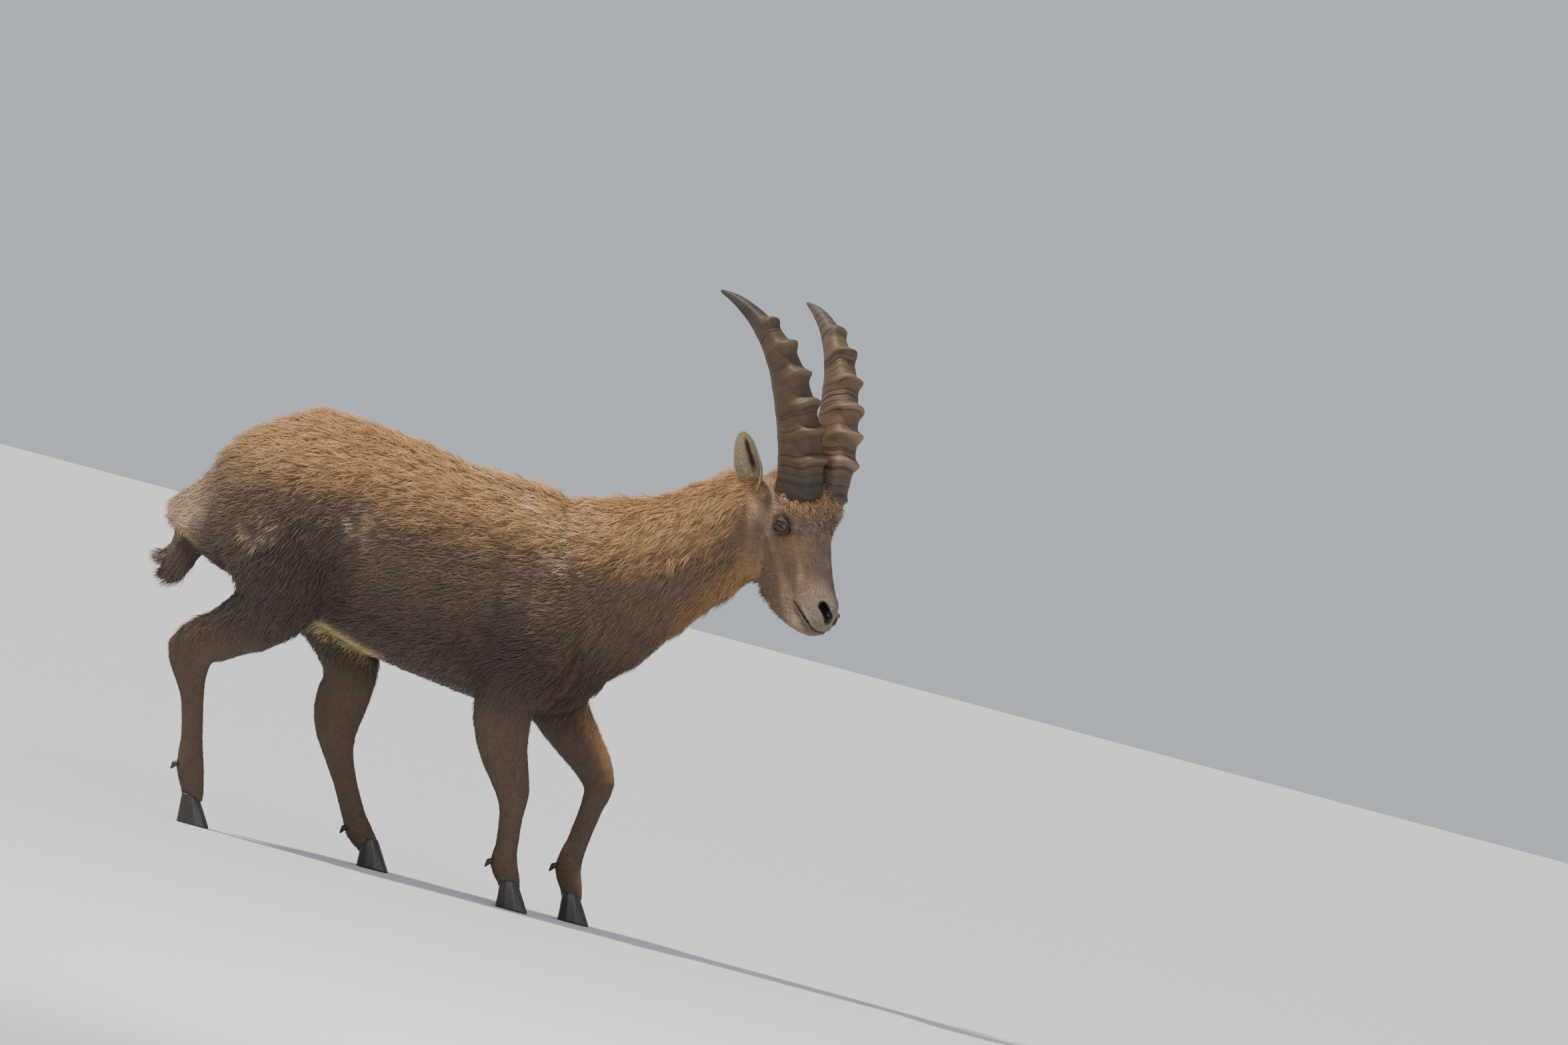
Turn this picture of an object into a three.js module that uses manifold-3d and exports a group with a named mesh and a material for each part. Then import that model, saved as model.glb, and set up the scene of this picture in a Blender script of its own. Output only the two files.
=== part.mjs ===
// A young male alpine ibex walking downhill, life size, in millimetres.
// +X is the way it walks, +Y its left side, +Z up, and its hooves stand on z = 0.
import * as THREE from "three";
import { mergeVertices } from "three/addons/utils/BufferGeometryUtils.js";
import Module from "manifold-3d";

const wasm = await Module();
wasm.setup();

// Driving sizes
const WITHERS_HEIGHT = 722;
const HEAD_LENGTH = 318;
const EAR_LENGTH = 108;
const EYEBALL_RADIUS = 15.5;
const GAP = 0.3;

// Body places are percent of the height at the withers, head places percent of the head's length.
const U = WITHERS_HEIGHT / 100;
const H = HEAD_LENGTH / 100;

const SIDES = { left: 1, right: -1 };
const FORWARD = new THREE.Vector3(1, 0, 0);
const LEFTWARD = new THREE.Vector3(0, 1, 0);
const DOWNWARD = new THREE.Vector3(0, 0, -1);

// Colours of the spring coat, the horn sheaths, the hooves and the eyes
const finish = (color, roughness, metalness = 0) => ({ color, roughness, metalness });
const COAT = finish(0x7d6349, 0.9);
const DARK_COAT = finish(0x4d3c30, 0.9);
const EAR_COAT = finish(0x8d7d62, 0.9);
const HORN = finish(0x6b5646, 0.55);
const HOOF = finish(0x2e2823, 0.5);
const EYE = finish(0x5a4632, 0.15);

// A seeded draw, so that the locks are the same at each run.
function drawer(seed) {
  let state = seed;
  return (low, high) => {
    state = (state * 1664525 + 1013904223) % 4294967296;
    return low + ((high - low) * state) / 4294967296;
  };
}

// A section of a body: its centre, and how far the skin stands from it above (or in front),
// below (or behind) and to each side. power 2 is an ellipse, less is more pointed.
function section(x, y, z, up, down, side, upPower = 2, downPower = 2) {
  return { at: new THREE.Vector3(x, y, z), size: new THREE.Vector3(up, down, side), upPower, downPower };
}

const scaled = (sections, unit) =>
  sections.map((s) => ({
    ...s,
    at: s.at.clone().multiplyScalar(unit),
    size: s.size.clone().multiplyScalar(unit),
  }));

// How a row of sections is met at a place along it: 0 is its start and 1 its end.
function reader(sections, lateral = LEFTWARD, facing) {
  const path = new THREE.CatmullRomCurve3(sections.map((s) => s.at), false, "centripetal");
  const sizes = new THREE.CatmullRomCurve3(sections.map((s) => s.size), false, "centripetal");
  return (t) => {
    const spot = t * (sections.length - 1);
    const before = sections[Math.floor(spot)];
    const after = sections[Math.min(Math.floor(spot) + 1, sections.length - 1)];
    const ahead = facing ? facing.clone() : path.getTangent(t);
    const side = lateral.clone().addScaledVector(ahead, -lateral.dot(ahead)).normalize();
    return {
      centre: path.getPoint(t),
      size: sizes.getPoint(t),
      ahead,
      side,
      up: ahead.clone().cross(side),
      upPower: THREE.MathUtils.lerp(before.upPower, after.upPower, spot - Math.floor(spot)),
      downPower: THREE.MathUtils.lerp(before.downPower, after.downPower, spot - Math.floor(spot)),
    };
  };
}

// The place on a section's rim at an angle: 0 is its left side and a quarter turn is its top.
function rim({ centre, size, side, up, upPower, downPower }, angle, extra = 0) {
  const power = 2 / (Math.sin(angle) >= 0 ? upPower : downPower);
  const across = Math.sign(Math.cos(angle)) * Math.abs(Math.cos(angle)) ** power;
  const above = Math.sign(Math.sin(angle)) * Math.abs(Math.sin(angle)) ** power;
  return centre
    .clone()
    .addScaledVector(side, across * (size.z + extra))
    .addScaledVector(up, above * ((above >= 0 ? size.x : size.y) + extra));
}

// A closed skin stretched over rings of points. swell(along, angle) adds to the radius.
function loft(sections, { sides = 14, rings = 2 * sections.length, lateral, facing, grow = 0, swell } = {}) {
  const read = reader(sections, lateral, facing);
  const points = [];
  const faces = [];
  for (let i = 0; i <= rings; i++) {
    const t = i / rings;
    const place = read(t);
    if (i === 0) place.centre.addScaledVector(place.ahead, -grow);
    if (i === rings) place.centre.addScaledVector(place.ahead, grow);
    for (let j = 0; j < sides; j++) {
      const angle = (2 * Math.PI * j) / sides;
      points.push(rim(place, angle, grow + (swell ? swell(t, angle) : 0)));
      if (i < rings) {
        const here = i * sides + j;
        const beside = i * sides + ((j + 1) % sides);
        faces.push(here, beside, here + sides, beside, beside + sides, here + sides);
      }
    }
  }
  for (const [ring, turn] of [[0, true], [rings, false]]) {
    const edge = Array.from({ length: sides }, (_, j) => ring * sides + j);
    const middle = edge.reduce((sum, j) => sum.add(points[j]), new THREE.Vector3()).divideScalar(sides);
    points.push(middle);
    edge.forEach((j, k) => {
      const next = edge[(k + 1) % sides];
      faces.push(points.length - 1, ...(turn ? [next, j] : [j, next]));
    });
  }
  return new THREE.BufferGeometry().setFromPoints(points).setIndex(faces);
}

function toSolid(geometry) {
  const bare = new THREE.BufferGeometry().setAttribute("position", geometry.getAttribute("position"));
  if (geometry.index) bare.setIndex(geometry.index);
  const merged = mergeVertices(bare, 1e-4);
  return new wasm.Manifold(
    new wasm.Mesh({
      numProp: 3,
      vertProperties: new Float32Array(merged.attributes.position.array),
      triVerts: new Uint32Array(merged.index.array),
    }),
  );
}

function toGeometry(solid) {
  const mesh = solid.getMesh();
  const geometry = new THREE.BufferGeometry()
    .setAttribute("position", new THREE.BufferAttribute(mesh.vertProperties, 3))
    .setIndex(new THREE.BufferAttribute(mesh.triVerts, 1));
  geometry.computeVertexNormals();
  return geometry;
}

const solidLoft = (sections, options) => toSolid(loft(sections, options));
const bodyLoft = (sections, options) => solidLoft(scaled(sections, U), options);
const join = (...solids) => solids.flat().reduce((sum, s) => sum.add(s));
const carve = (solid, ...cutters) => largest(cutters.flat().reduce((rest, c) => rest.subtract(c), solid));

function largest(solid) {
  return solid.decompose().reduce((best, s) => (s.volume() > best.volume() ? s : best));
}

// Everything on the far side of a plane, as a big block to cut with.
function beyond(point, normal, shift = 0) {
  const SPAN = 1600;
  const block = new THREE.BoxGeometry(SPAN, SPAN, SPAN).translate(0, 0, SPAN / 2 + shift);
  const turn = new THREE.Quaternion().setFromUnitVectors(new THREE.Vector3(0, 0, 1), normal.clone().normalize());
  block.applyQuaternion(turn).translate(point.x, point.y, point.z);
  return toSolid(block);
}

// Parts a solid at a plane with a thin cut: [the side behind the plane, the side ahead of it].
function part(solid, point, normal) {
  const behind = largest(solid.subtract(beyond(point, normal, -GAP / 2)));
  const ahead = largest(solid.subtract(beyond(point, normal.clone().negate(), -GAP / 2)));
  return [behind, ahead];
}

// A flat, tapered lock of hair that leaves its root along one way and bends towards another.
function lock({ root, way, bend, face, length, width, thick, sunk }) {
  const start = root.clone().addScaledVector(way, -sunk);
  const middle = root.clone().addScaledVector(way, length * 0.5).addScaledVector(bend, length * 0.08);
  const tip = root.clone().addScaledVector(way, length * 0.84).addScaledVector(bend, length * 0.42);
  const lateral = way.clone().cross(face).normalize();
  const at = (p, w) => ({
    at: p,
    size: new THREE.Vector3(thick * w, thick * w, (width / 2) * w),
    upPower: 2,
    downPower: 2,
  });
  return solidLoft([at(start, 0.9), at(middle, 1), at(tip, 0.15)], { sides: 5, rings: 2, lateral });
}

// A field of locks over part of a body: each lies back along it, its root sunk in the skin.
function fringe(sections, { seed, count, along, around, size, lie, unit = U, facing }) {
  const draw = drawer(seed);
  const read = reader(scaled(sections, unit), LEFTWARD, facing);
  return Array.from({ length: count }, (_, i) => {
    const place = read(THREE.MathUtils.lerp(along[0], along[1], (i + draw(0.2, 0.8)) / count));
    const angle = THREE.MathUtils.degToRad(draw(...around));
    const root = rim(place, angle);
    const out = root.clone().sub(place.centre).normalize();
    const flat = lie.clone().addScaledVector(place.side, draw(-0.2, 0.2));
    flat.addScaledVector(out, -flat.dot(out)).normalize();
    const way = flat.clone().addScaledVector(out, draw(0.12, 0.3)).normalize();
    const length = size * draw(0.8, 1.2);
    return lock({ root, way, bend: flat, face: out, length, width: length * 0.42, thick: length * 0.1, sunk: size * 0.3 });
  });
}

// Torso: from the rump to the chest, its outline out to the tips of the coat
const TRUNK = [
  section(-56.6, 0, 72, 2.2, 2.2, 3),
  section(-54, 0, 71.5, 6, 5, 7),
  section(-50, 0, 72, 10, 7.4, 11.5),
  section(-44.5, 0, 74, 18.4, 12.6, 15, 2, 2),
  section(-36, 0, 77, 22, 18.4, 16.6, 2, 2),
  section(-26, 0, 78, 25.6, 23, 17.4, 1.9, 2),
  section(-14, 0, 77, 26.3, 24, 18, 1.85, 2),
  section(-2, 0, 75, 27.3, 25.4, 18.8, 1.8, 2),
  section(10, 0, 73, 27.3, 25.2, 18.6, 1.75, 2),
  section(22, 0, 72, 28, 25.6, 17.4, 1.7, 1.9),
  section(33, 0, 71, 28.6, 25.8, 15.8, 1.7, 1.8),
  section(42, 0, 70, 24, 23.8, 13.4, 1.8, 1.8),
  section(50, 0, 68, 16, 17.5, 9.6),
  section(55.2, 0, 66, 8, 9, 4.6),
];

// Neck: from the withers and chest to the poll and throat, turning a little to the right
const NECK = [
  section(30, 0, 70, 22, 20, 12.5, 1.8, 1.8),
  section(44, 0, 77, 23, 22.5, 12.6, 1.75, 1.7),
  section(56.5, -0.2, 85, 20, 17.4, 11.2, 1.8, 1.7),
  section(66, -1, 92.6, 15.6, 14, 9.8, 1.9, 1.8),
  section(73.5, -1.2, 100, 13.6, 13.4, 9.2, 2, 1.9),
  section(79.5, -2.2, 106.5, 12, 12.4, 8.4, 2, 2),
  section(83.5, -3.4, 111, 8, 9, 6.4, 2, 2),
];

// Legs, from top to hoof: for each, how far the skin stands ahead of, behind and beside the centre
const RUMP_TOP = [
  [-33, 92, 6, 6, 3.4, 7.6],
  [-31.5, 85, 12.5, 12, 6.2, 9.4],
];
const SHOULDER_TOP = [
  [31, 90, 5, 5, 3, 8.2],
  [34.5, 81, 8.5, 8, 5.6, 9],
  [37.5, 70, 12, 11, 7.4, 9.6],
];
const LEGS = {
  hind_right: {
    bones: [
      ...RUMP_TOP,
      [-28.5, 75, 16, 15.5, 7.6, 10.6],
      [-26, 64, 15.4, 15, 7.6, 11.4],
      [-28.2, 54, 10.4, 9.4, 5.8, 11.2],
      [-35, 46.8, 7, 6.6, 4.5, 10.6],
      [-41.2, 41.6, 6.4, 5, 3.9, 10.2],
      [-41.4, 36, 4.6, 4.2, 3.5, 9.8],
      [-39.2, 29, 3.2, 3, 2.9, 9.5],
      [-36.9, 20, 2.9, 2.8, 2.6, 9.2],
      [-35.5, 13.6, 3.4, 3.6, 3.1, 9],
      [-33.6, 8.6, 2.8, 2.9, 2.8, 9],
      [-32.6, 5.2, 2.4, 2.6, 2.5, 9],
    ],
    heel: [[-37, 50.5, 2.2], [-43.2, 45.4, 2.5], [-46.4, 40.6, 2.3], [-44.6, 36, 2.1], [-41.4, 30.6, 1.6]],
    thighEnd: [-19, 55, 0.35, -1],
    kneeEnd: [-42.4, 38.5, -0.1, -1],
    heelRatio: 1,
    hoof: [-32.4, 9],
  },
  hind_left: {
    bones: [
      ...RUMP_TOP,
      [-27, 75, 16, 15, 7.4, 10.4],
      [-18.5, 65, 14.5, 14, 7.4, 10.8],
      [-10.4, 55, 10.2, 9.4, 5.8, 10.4],
      [-5.9, 46, 7.6, 7, 4.7, 10],
      [-4.8, 38.4, 6.3, 6, 4.2, 9.8],
      [-5, 31.6, 5.6, 5, 3.8, 9.6],
      [-3.4, 25.6, 4.2, 4, 3.4, 9.4],
      [0.4, 18.4, 3.1, 3, 2.8, 9.2],
      [4.2, 11.6, 3, 2.9, 2.7, 9.1],
      [6.4, 8.4, 3.2, 3.4, 3, 9],
      [9.4, 5.6, 2.6, 2.8, 2.7, 9],
      [10.6, 4, 2.4, 2.5, 2.4, 9],
    ],
    heel: [[-9.6, 42, 2.2], [-10, 36.6, 2.4], [-9, 31.4, 2.3], [-7, 27, 2.1], [-3.4, 21.6, 1.6]],
    thighEnd: [-7, 51.5, 0.35, -1],
    kneeEnd: [-5, 27.6, 0.45, -1],
    hoof: [11, 9],
  },
  fore_right: {
    bones: [
      ...SHOULDER_TOP,
      [36, 58, 11.5, 10.6, 6.8, 9.8],
      [32.6, 48.6, 8.4, 8, 5.2, 9.8],
      [34.4, 38.6, 6.8, 6.6, 4.2, 9.4],
      [37.8, 31.6, 5.4, 5.2, 3.8, 9.1],
      [40.2, 26.6, 4.5, 4.1, 3.7, 8.9],
      [41.2, 21.6, 3.2, 3.1, 2.9, 8.8],
      [42, 14.6, 2.9, 2.8, 2.6, 8.7],
      [42.5, 10.4, 3.3, 3.5, 3.1, 8.6],
      [44.6, 7, 2.7, 2.9, 2.8, 8.6],
      [45.6, 4.6, 2.4, 2.6, 2.5, 8.6],
    ],
    thighEnd: [32, 50.5, 0.1, -1],
    kneeEnd: [40.2, 26.4, 0.3, -1],
    hoof: [46, 8.6],
  },
  fore_left: {
    bones: [
      ...SHOULDER_TOP,
      [39, 59, 11.5, 10.6, 6.8, 9.8],
      [44.6, 50, 8, 7.8, 5.2, 9.8],
      [50.6, 43.6, 6.3, 6.3, 4.2, 9.6],
      [56, 38.4, 5.2, 5.1, 3.8, 9.4],
      [59.2, 33.6, 4.3, 4.1, 3.7, 9.2],
      [59, 28.4, 3.2, 3.1, 2.9, 9],
      [57.8, 19, 2.9, 2.8, 2.6, 8.8],
      [57.3, 12.6, 3.3, 3.5, 3.1, 8.7],
      [59.2, 8.4, 2.7, 2.9, 2.8, 8.6],
      [60.4, 4.8, 2.4, 2.6, 2.5, 8.6],
    ],
    thighEnd: [44, 51, 0.55, -1],
    kneeEnd: [59.4, 33.2, 0.2, -1],
    hoof: [60.8, 8.6],
  },
};

const sideOf = (name) => SIDES[name.endsWith("left") ? "left" : "right"];

function legSolid(name, grow = 0) {
  const y = sideOf(name);
  const { bones, heel } = LEGS[name];
  const sections = bones.map(([x, z, ahead, behind, side, out]) => section(x, y * out, z, ahead, behind, side));
  const limb = bodyLoft(sections, { sides: 12, rings: bones.length * 2 - 2, grow });
  if (!heel) return limb;
  const out = bones[6][5];
  const tendon = heel.map(([x, z, r]) => section(x, y * out, z, r, r, r * 0.8));
  return join(limb, bodyLoft(tendon, { sides: 8, rings: 6, grow }));
}

// Hooves: two claws on each foot, flat underneath, and two dewclaws behind the fetlock
function claw(name, inner) {
  const y = sideOf(name);
  const [x, out] = LEGS[name].hoof;
  const across = y * out + (inner ? -1 : 1) * y * 1.75;
  return bodyLoft(
    [
      section(x - 1.3, across, 7, 1.9, 2, 1.1),
      section(x - 0.9, across, 5.2, 2.7, 2.4, 1.5),
      section(x - 0.2, across, 2.4, 3.8, 2.9, 1.65),
      section(x + 0.2, across, 0, 4.9, 3.2, 1.7),
    ],
    { sides: 9, rings: 3, facing: DOWNWARD },
  );
}

function dewclaw(name, inner) {
  const y = sideOf(name);
  const { bones } = LEGS[name];
  const [x, z, , behind, , out] = bones[bones.length - 3];
  const across = y * out + (inner ? -1 : 1) * y * 1.3;
  return bodyLoft(
    [
      section(x - behind * 0.4, across, z + 0.5, 0.8, 0.8, 0.8),
      section(x - behind - 0.2, across, z - 0.6, 0.8, 0.8, 0.75),
      section(x - behind - 0.7, across, z - 2, 0.25, 0.25, 0.3),
    ],
    { sides: 6, rings: 2 },
  );
}

// Head, in its own frame: x from the eyes to the nose, y to its left, z to the forehead, in percent of its length
const SKULL = [
  section(-38, 0, -7, 12, 12, 8),
  section(-30, 0, -5, 22, 27, 14, 2, 1.8),
  section(-19, 0, -3, 23.5, 37, 16.4, 2.1, 1.8),
  section(-7, 0, -1, 21.5, 43, 16.4, 2.3, 1.8),
  section(4, 0, -2, 17.8, 44.5, 13.4, 2.3, 1.85),
  section(16, 0, -3, 14, 43, 9.9, 2.2, 1.95),
  section(29, 0, -5, 11.9, 37.5, 8.1, 2.1, 2.05),
  section(39, 0, -6.5, 11, 30, 7.4, 2, 2.1),
  section(48, 0, -7, 9.6, 22.4, 7.5, 2, 2.2),
  section(54.4, 0, -7.6, 7.6, 16, 6.5, 2, 2.2),
  section(57.4, 0, -8.2, 5, 10, 4.3),
];
const HEAD_AT = new THREE.Vector3(91, -10.6, 105.6);
const SLOPE = THREE.MathUtils.degToRad(15);
const HEAD_NOD = THREE.MathUtils.degToRad(57);
const HEAD_YAW = THREE.MathUtils.degToRad(-57);
const HEAD_TILT = THREE.MathUtils.degToRad(-10);
const headPose = new THREE.Matrix4().makeRotationY(-SLOPE);
headPose.multiply(new THREE.Matrix4().makeRotationZ(HEAD_YAW));
headPose.multiply(new THREE.Matrix4().makeRotationY(HEAD_NOD));
headPose.multiply(new THREE.Matrix4().makeRotationX(HEAD_TILT));
headPose.setPosition(HEAD_AT.clone().multiplyScalar(U));
const headLoft = (sections, options) => loft(scaled(sections, H), options);
const posed = (geometry) => toSolid(geometry.applyMatrix4(headPose));
const inHead = (x, y, z) => new THREE.Vector3(x * H, y * H, z * H).applyMatrix4(headPose);
const headWay = (x, y, z) => new THREE.Vector3(x, y, z).transformDirection(headPose);

// Eyes: balls set in sockets under lids, and cut open to an almond
const EYE_AT = [-2, 12.8, -2.6];
const eyeball = (side, grow = 0) =>
  posed(
    new THREE.SphereGeometry(EYEBALL_RADIUS + grow, 14, 9).translate(EYE_AT[0] * H, side * EYE_AT[1] * H, EYE_AT[2] * H),
  );
const lids = (side) => eyeball(side, 3.6);

function eyeOpening(side) {
  const [length, height] = [17.5, 10];
  const almond = new THREE.Shape();
  almond.moveTo(-length, 0);
  almond.quadraticCurveTo(-length * 0.2, height * 1.7, length, -1.5);
  almond.quadraticCurveTo(0, -height * 1.5, -length, 0);
  const prism = new THREE.ExtrudeGeometry(almond, { depth: 40, bevelEnabled: false, curveSegments: 6 });
  const along = new THREE.Vector3(0.81, -side * 0.2, 0.55).normalize();
  const out = new THREE.Vector3(0.22, side, 0.12);
  out.addScaledVector(along, -out.dot(along)).normalize();
  prism.applyMatrix4(new THREE.Matrix4().makeBasis(along, out.clone().cross(along), out));
  prism.translate(EYE_AT[0] * H, side * EYE_AT[1] * H, EYE_AT[2] * H);
  return posed(prism);
}

// Nostrils: slanting hollows on each side of the nose
const nostril = (side) =>
  posed(
    headLoft(
      [
        section(48, side * 6.4, -1.4, 1, 1, 0.8),
        section(51, side * 5.7, -1, 2.1, 2.1, 1.5),
        section(54.2, side * 4.8, -1.8, 2.6, 2.6, 1.6),
        section(57.6, side * 3.4, -4, 1.8, 1.8, 1.2),
      ],
      { sides: 8, rings: 5 },
    ),
  );

// Mouth: a groove from corner to corner, round the front of the lips
function mouthLine() {
  const corner = [36.4, 8.6, -17.6];
  const middle = [46, 7.8, -18.4];
  const lip = [53.4, 6.2, -15.8];
  const front = [59, 0, -13.6];
  const half = [corner, middle, lip];
  const places = [...half, front, ...half.reverse().map(([x, y, z]) => [x, -y, z])];
  return posed(headLoft(places.map(([x, y, z]) => section(x, y, z, 1.5, 1.5, 0.5)), {
    sides: 6,
    rings: 12,
    lateral: new THREE.Vector3(0, 0, 1),
  }));
}

// Horns: a sheath that sweeps up, back and out, with a knob across its front at each step
const HORN_PATH = [
  [-14, 8.6, 8.5, 15.4, 14, 10],
  [-19.3, 9.4, 15, 15.4, 14, 10],
  [-31, 11.6, 24.4, 14.8, 13.4, 9.8],
  [-45, 14.2, 32.2, 13.6, 12.2, 9.4],
  [-60, 17.2, 38.4, 12.2, 10.6, 8.6],
  [-76, 20.2, 42.6, 10.6, 8.4, 7.4],
  [-92, 23.2, 43, 8.6, 6, 6],
  [-107.4, 26.2, 40.4, 6.2, 4, 4.6],
  [-121, 29, 35.4, 4, 2.6, 3.1],
  [-131.6, 31.2, 29.4, 1.4, 1.2, 1.2],
];
const KNOBS = [0.055, 0.185, 0.29, 0.39, 0.495, 0.6, 0.71];
const KNOB_HEIGHTS = [6, 14, 15, 15, 14, 13, 10];
const KNOB_WIDTH = 0.022;

function knobSwell(along, angle) {
  const front = Math.max(0, Math.sin(angle)) ** 1.4;
  const ridge = KNOBS.reduce((sum, at, i) => {
    const away = (along - at) / KNOB_WIDTH;
    return sum + KNOB_HEIGHTS[i] * Math.exp(-away * away);
  }, 0);
  return ridge * (0.12 + 0.88 * front) - 2 * front;
}

function horn(side, grow = 0) {
  const sections = HORN_PATH.map(([x, y, z, ahead, behind, wide]) =>
    section(x, side * y, z, ahead, behind, wide, 2.6, 2),
  );
  const sheath = posed(
    headLoft(sections, { sides: 10, rings: 56, lateral: LEFTWARD.clone().negate(), grow, swell: knobSwell }),
  );
  return grow ? sheath : largest(sheath.subtract(beyond(inHead(0, 0, 0), headWay(0, -side, 0), -1.5)));
}

// Ears: a leaf rolled into a cup, open to the side
function ear(side) {
  const [root, width, shell] = [new THREE.Vector3(-28.6, side * 20, -11.6), 60, 4.2];
  const way = new THREE.Vector3(-0.74, side * 0.3, 0.6).normalize();
  const open = new THREE.Vector3(0.5, side * 0.84, -0.1);
  open.addScaledVector(way, -open.dot(way)).normalize();
  const across = way.clone().cross(open);
  const rows = [
    [-0.1, 0.3, 0.8],
    [0.05, 0.5, 1],
    [0.2, 0.8, 1],
    [0.4, 1, 0.8],
    [0.6, 0.94, 0.55],
    [0.8, 0.76, 0.35],
    [0.93, 0.5, 0.2],
    [1, 0.16, 0.08],
  ];
  const HALF = 6;
  const points = [];
  for (const [along, spread, roll] of rows) {
    const base = root.clone().multiplyScalar(H).addScaledVector(way, along * EAR_LENGTH);
    const rim = (width / 2) * spread;
    const depth = rim * roll;
    for (const [inner, sign] of [[false, 1], [true, -1]]) {
      for (let k = 0; k < HALF; k++) {
        const angle = (Math.PI * (k + 0.5)) / HALF;
        const thin = inner ? Math.max(0, 1 - (shell * spread) / rim) : 1;
        points.push(
          base
            .clone()
            .addScaledVector(across, sign * rim * thin * Math.cos(angle))
            .addScaledVector(open, -depth * Math.sin(angle) + (inner ? shell * spread * Math.sin(angle) : 0)),
        );
      }
    }
  }
  const ring = 2 * HALF;
  const faces = [];
  for (let i = 0; i < rows.length - 1; i++)
    for (let j = 0; j < ring; j++) {
      const here = i * ring + j;
      const beside = i * ring + ((j + 1) % ring);
      faces.push(here, beside, here + ring, beside, beside + ring, here + ring);
    }
  for (const [start, turn] of [[0, true], [(rows.length - 1) * ring, false]])
    for (let j = 1; j < ring - 1; j++)
      faces.push(start, ...(turn ? [start + j + 1, start + j] : [start + j, start + j + 1]));
  const solid = posed(new THREE.BufferGeometry().setFromPoints(points).setIndex(faces));
  if (solid.volume() > 0) return solid;
  for (let i = 0; i < faces.length; i += 3) [faces[i + 1], faces[i + 2]] = [faces[i + 2], faces[i + 1]];
  return toSolid(new THREE.BufferGeometry().setFromPoints(points).setIndex(faces).applyMatrix4(headPose));
}

// Tail: a short dock that hangs from the rump, and a tuft that curls back
const TAIL = [
  section(-48, 0, 75.5, 3, 3, 4),
  section(-51.8, 0, 71.6, 3.2, 3.6, 4),
  section(-51, 0, 67, 4, 4, 3.6),
  section(-50.6, 0, 62.6, 4.6, 4.6, 3.6),
  section(-51.6, 0, 59.4, 3.8, 4, 3),
  section(-53, 0, 57.4, 1.8, 2, 1.4),
];

function tailTuft() {
  const draw = drawer(7);
  return Array.from({ length: 11 }, (_, i) => {
    const row = i / 10;
    const spot = [-53.4 + 6 * row + draw(-0.4, 0.4), draw(-1.8, 1.8), 64 - 5 * Math.sin(Math.PI * row)];
    const way = new THREE.Vector3(-0.5 + 0.75 * row + draw(-0.1, 0.1), draw(-0.2, 0.2), -1).normalize();
    const bend = new THREE.Vector3(-0.8, draw(-0.2, 0.2), 0.15);
    const root = new THREE.Vector3(...spot).multiplyScalar(U);
    return lock({ root, way, bend, face: LEFTWARD, length: draw(38, 50), width: 20, thick: 6, sunk: 12 });
  });
}

// Build each part
const trunk = (grow = 0) => bodyLoft(TRUNK, { sides: 20, rings: 24, facing: FORWARD, grow });
const wholeNeck = (grow = 0) => bodyLoft(NECK, { sides: 18, rings: 12, grow });
const skull = (grow = 0) => posed(headLoft(SKULL, { sides: 18, rings: 22, facing: FORWARD, grow }));

// Locks that stand out of the coat: on the nape, the throat and the forehead
const DOWN_NECK = new THREE.Vector3(-0.75, 0, -0.66).normalize();
const bodyLocks = [
  fringe(NECK, { seed: 11, count: 13, along: [0.36, 0.8], around: [58, 122], size: 32, lie: DOWN_NECK }),
  fringe(NECK, { seed: 19, count: 8, along: [0.3, 0.7], around: [252, 288], size: 26, lie: DOWN_NECK }),
];
const browLocks = [-1, 0, 1].flatMap((row) =>
  [-1, 0, 1].map((column) =>
    lock({
      root: inHead(1.5 + 4.5 * row, column * 4.6, 17 - 1.7 * row),
      way: headWay(-0.4 + 0.2 * column * row, 0.35 * column, 0.55),
      bend: headWay(1, 0.4 * column, 0),
      face: headWay(0.6, 0.2, 0.2),
      length: 16,
      width: 11,
      thick: 3.6,
      sunk: 8,
    }),
  ),
);

const solids = [];
const add = (name, solid, look) => solids.push([name, solid, look]);
const eyeSides = Object.values(SIDES);
const legNames = Object.keys(LEGS);

const flesh = join(trunk(), wholeNeck(), skull(), ...bodyLocks);
const legless = carve(flesh, legNames.map((name) => legSolid(name, GAP)));
const CHEST_CUT = [new THREE.Vector3(40 * U, 0, 96 * U), new THREE.Vector3(0.92, 0, 0.39)];
const [torso, forward] = part(legless, ...CHEST_CUT);
const [neck, headFlesh] = part(forward, inHead(-36, 0, 8), headWay(0.85, 0, 0.53));

const lidded = carve(join(headFlesh, eyeSides.map(lids)), eyeSides.map(eyeOpening), eyeSides.map((s) => eyeball(s, GAP)));
const head = carve(join(lidded, browLocks), eyeSides.map(nostril), mouthLine(), eyeSides.map((s) => horn(s, GAP)));

add("torso", torso, COAT);
add("neck", neck, COAT);
add("head", head, COAT);
add("tail", carve(join(bodyLoft(TAIL, { sides: 10, rings: 8 }), tailTuft()), trunk(GAP)), DARK_COAT);

for (const [name, side] of Object.entries(SIDES)) {
  add(`horn_${name}`, horn(side), HORN);
  add(`ear_${name}`, carve(ear(side), skull(GAP), wholeNeck(GAP), horn(side, GAP)), EAR_COAT);
  add(`eye_${name}`, eyeball(side), EYE);
}

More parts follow.
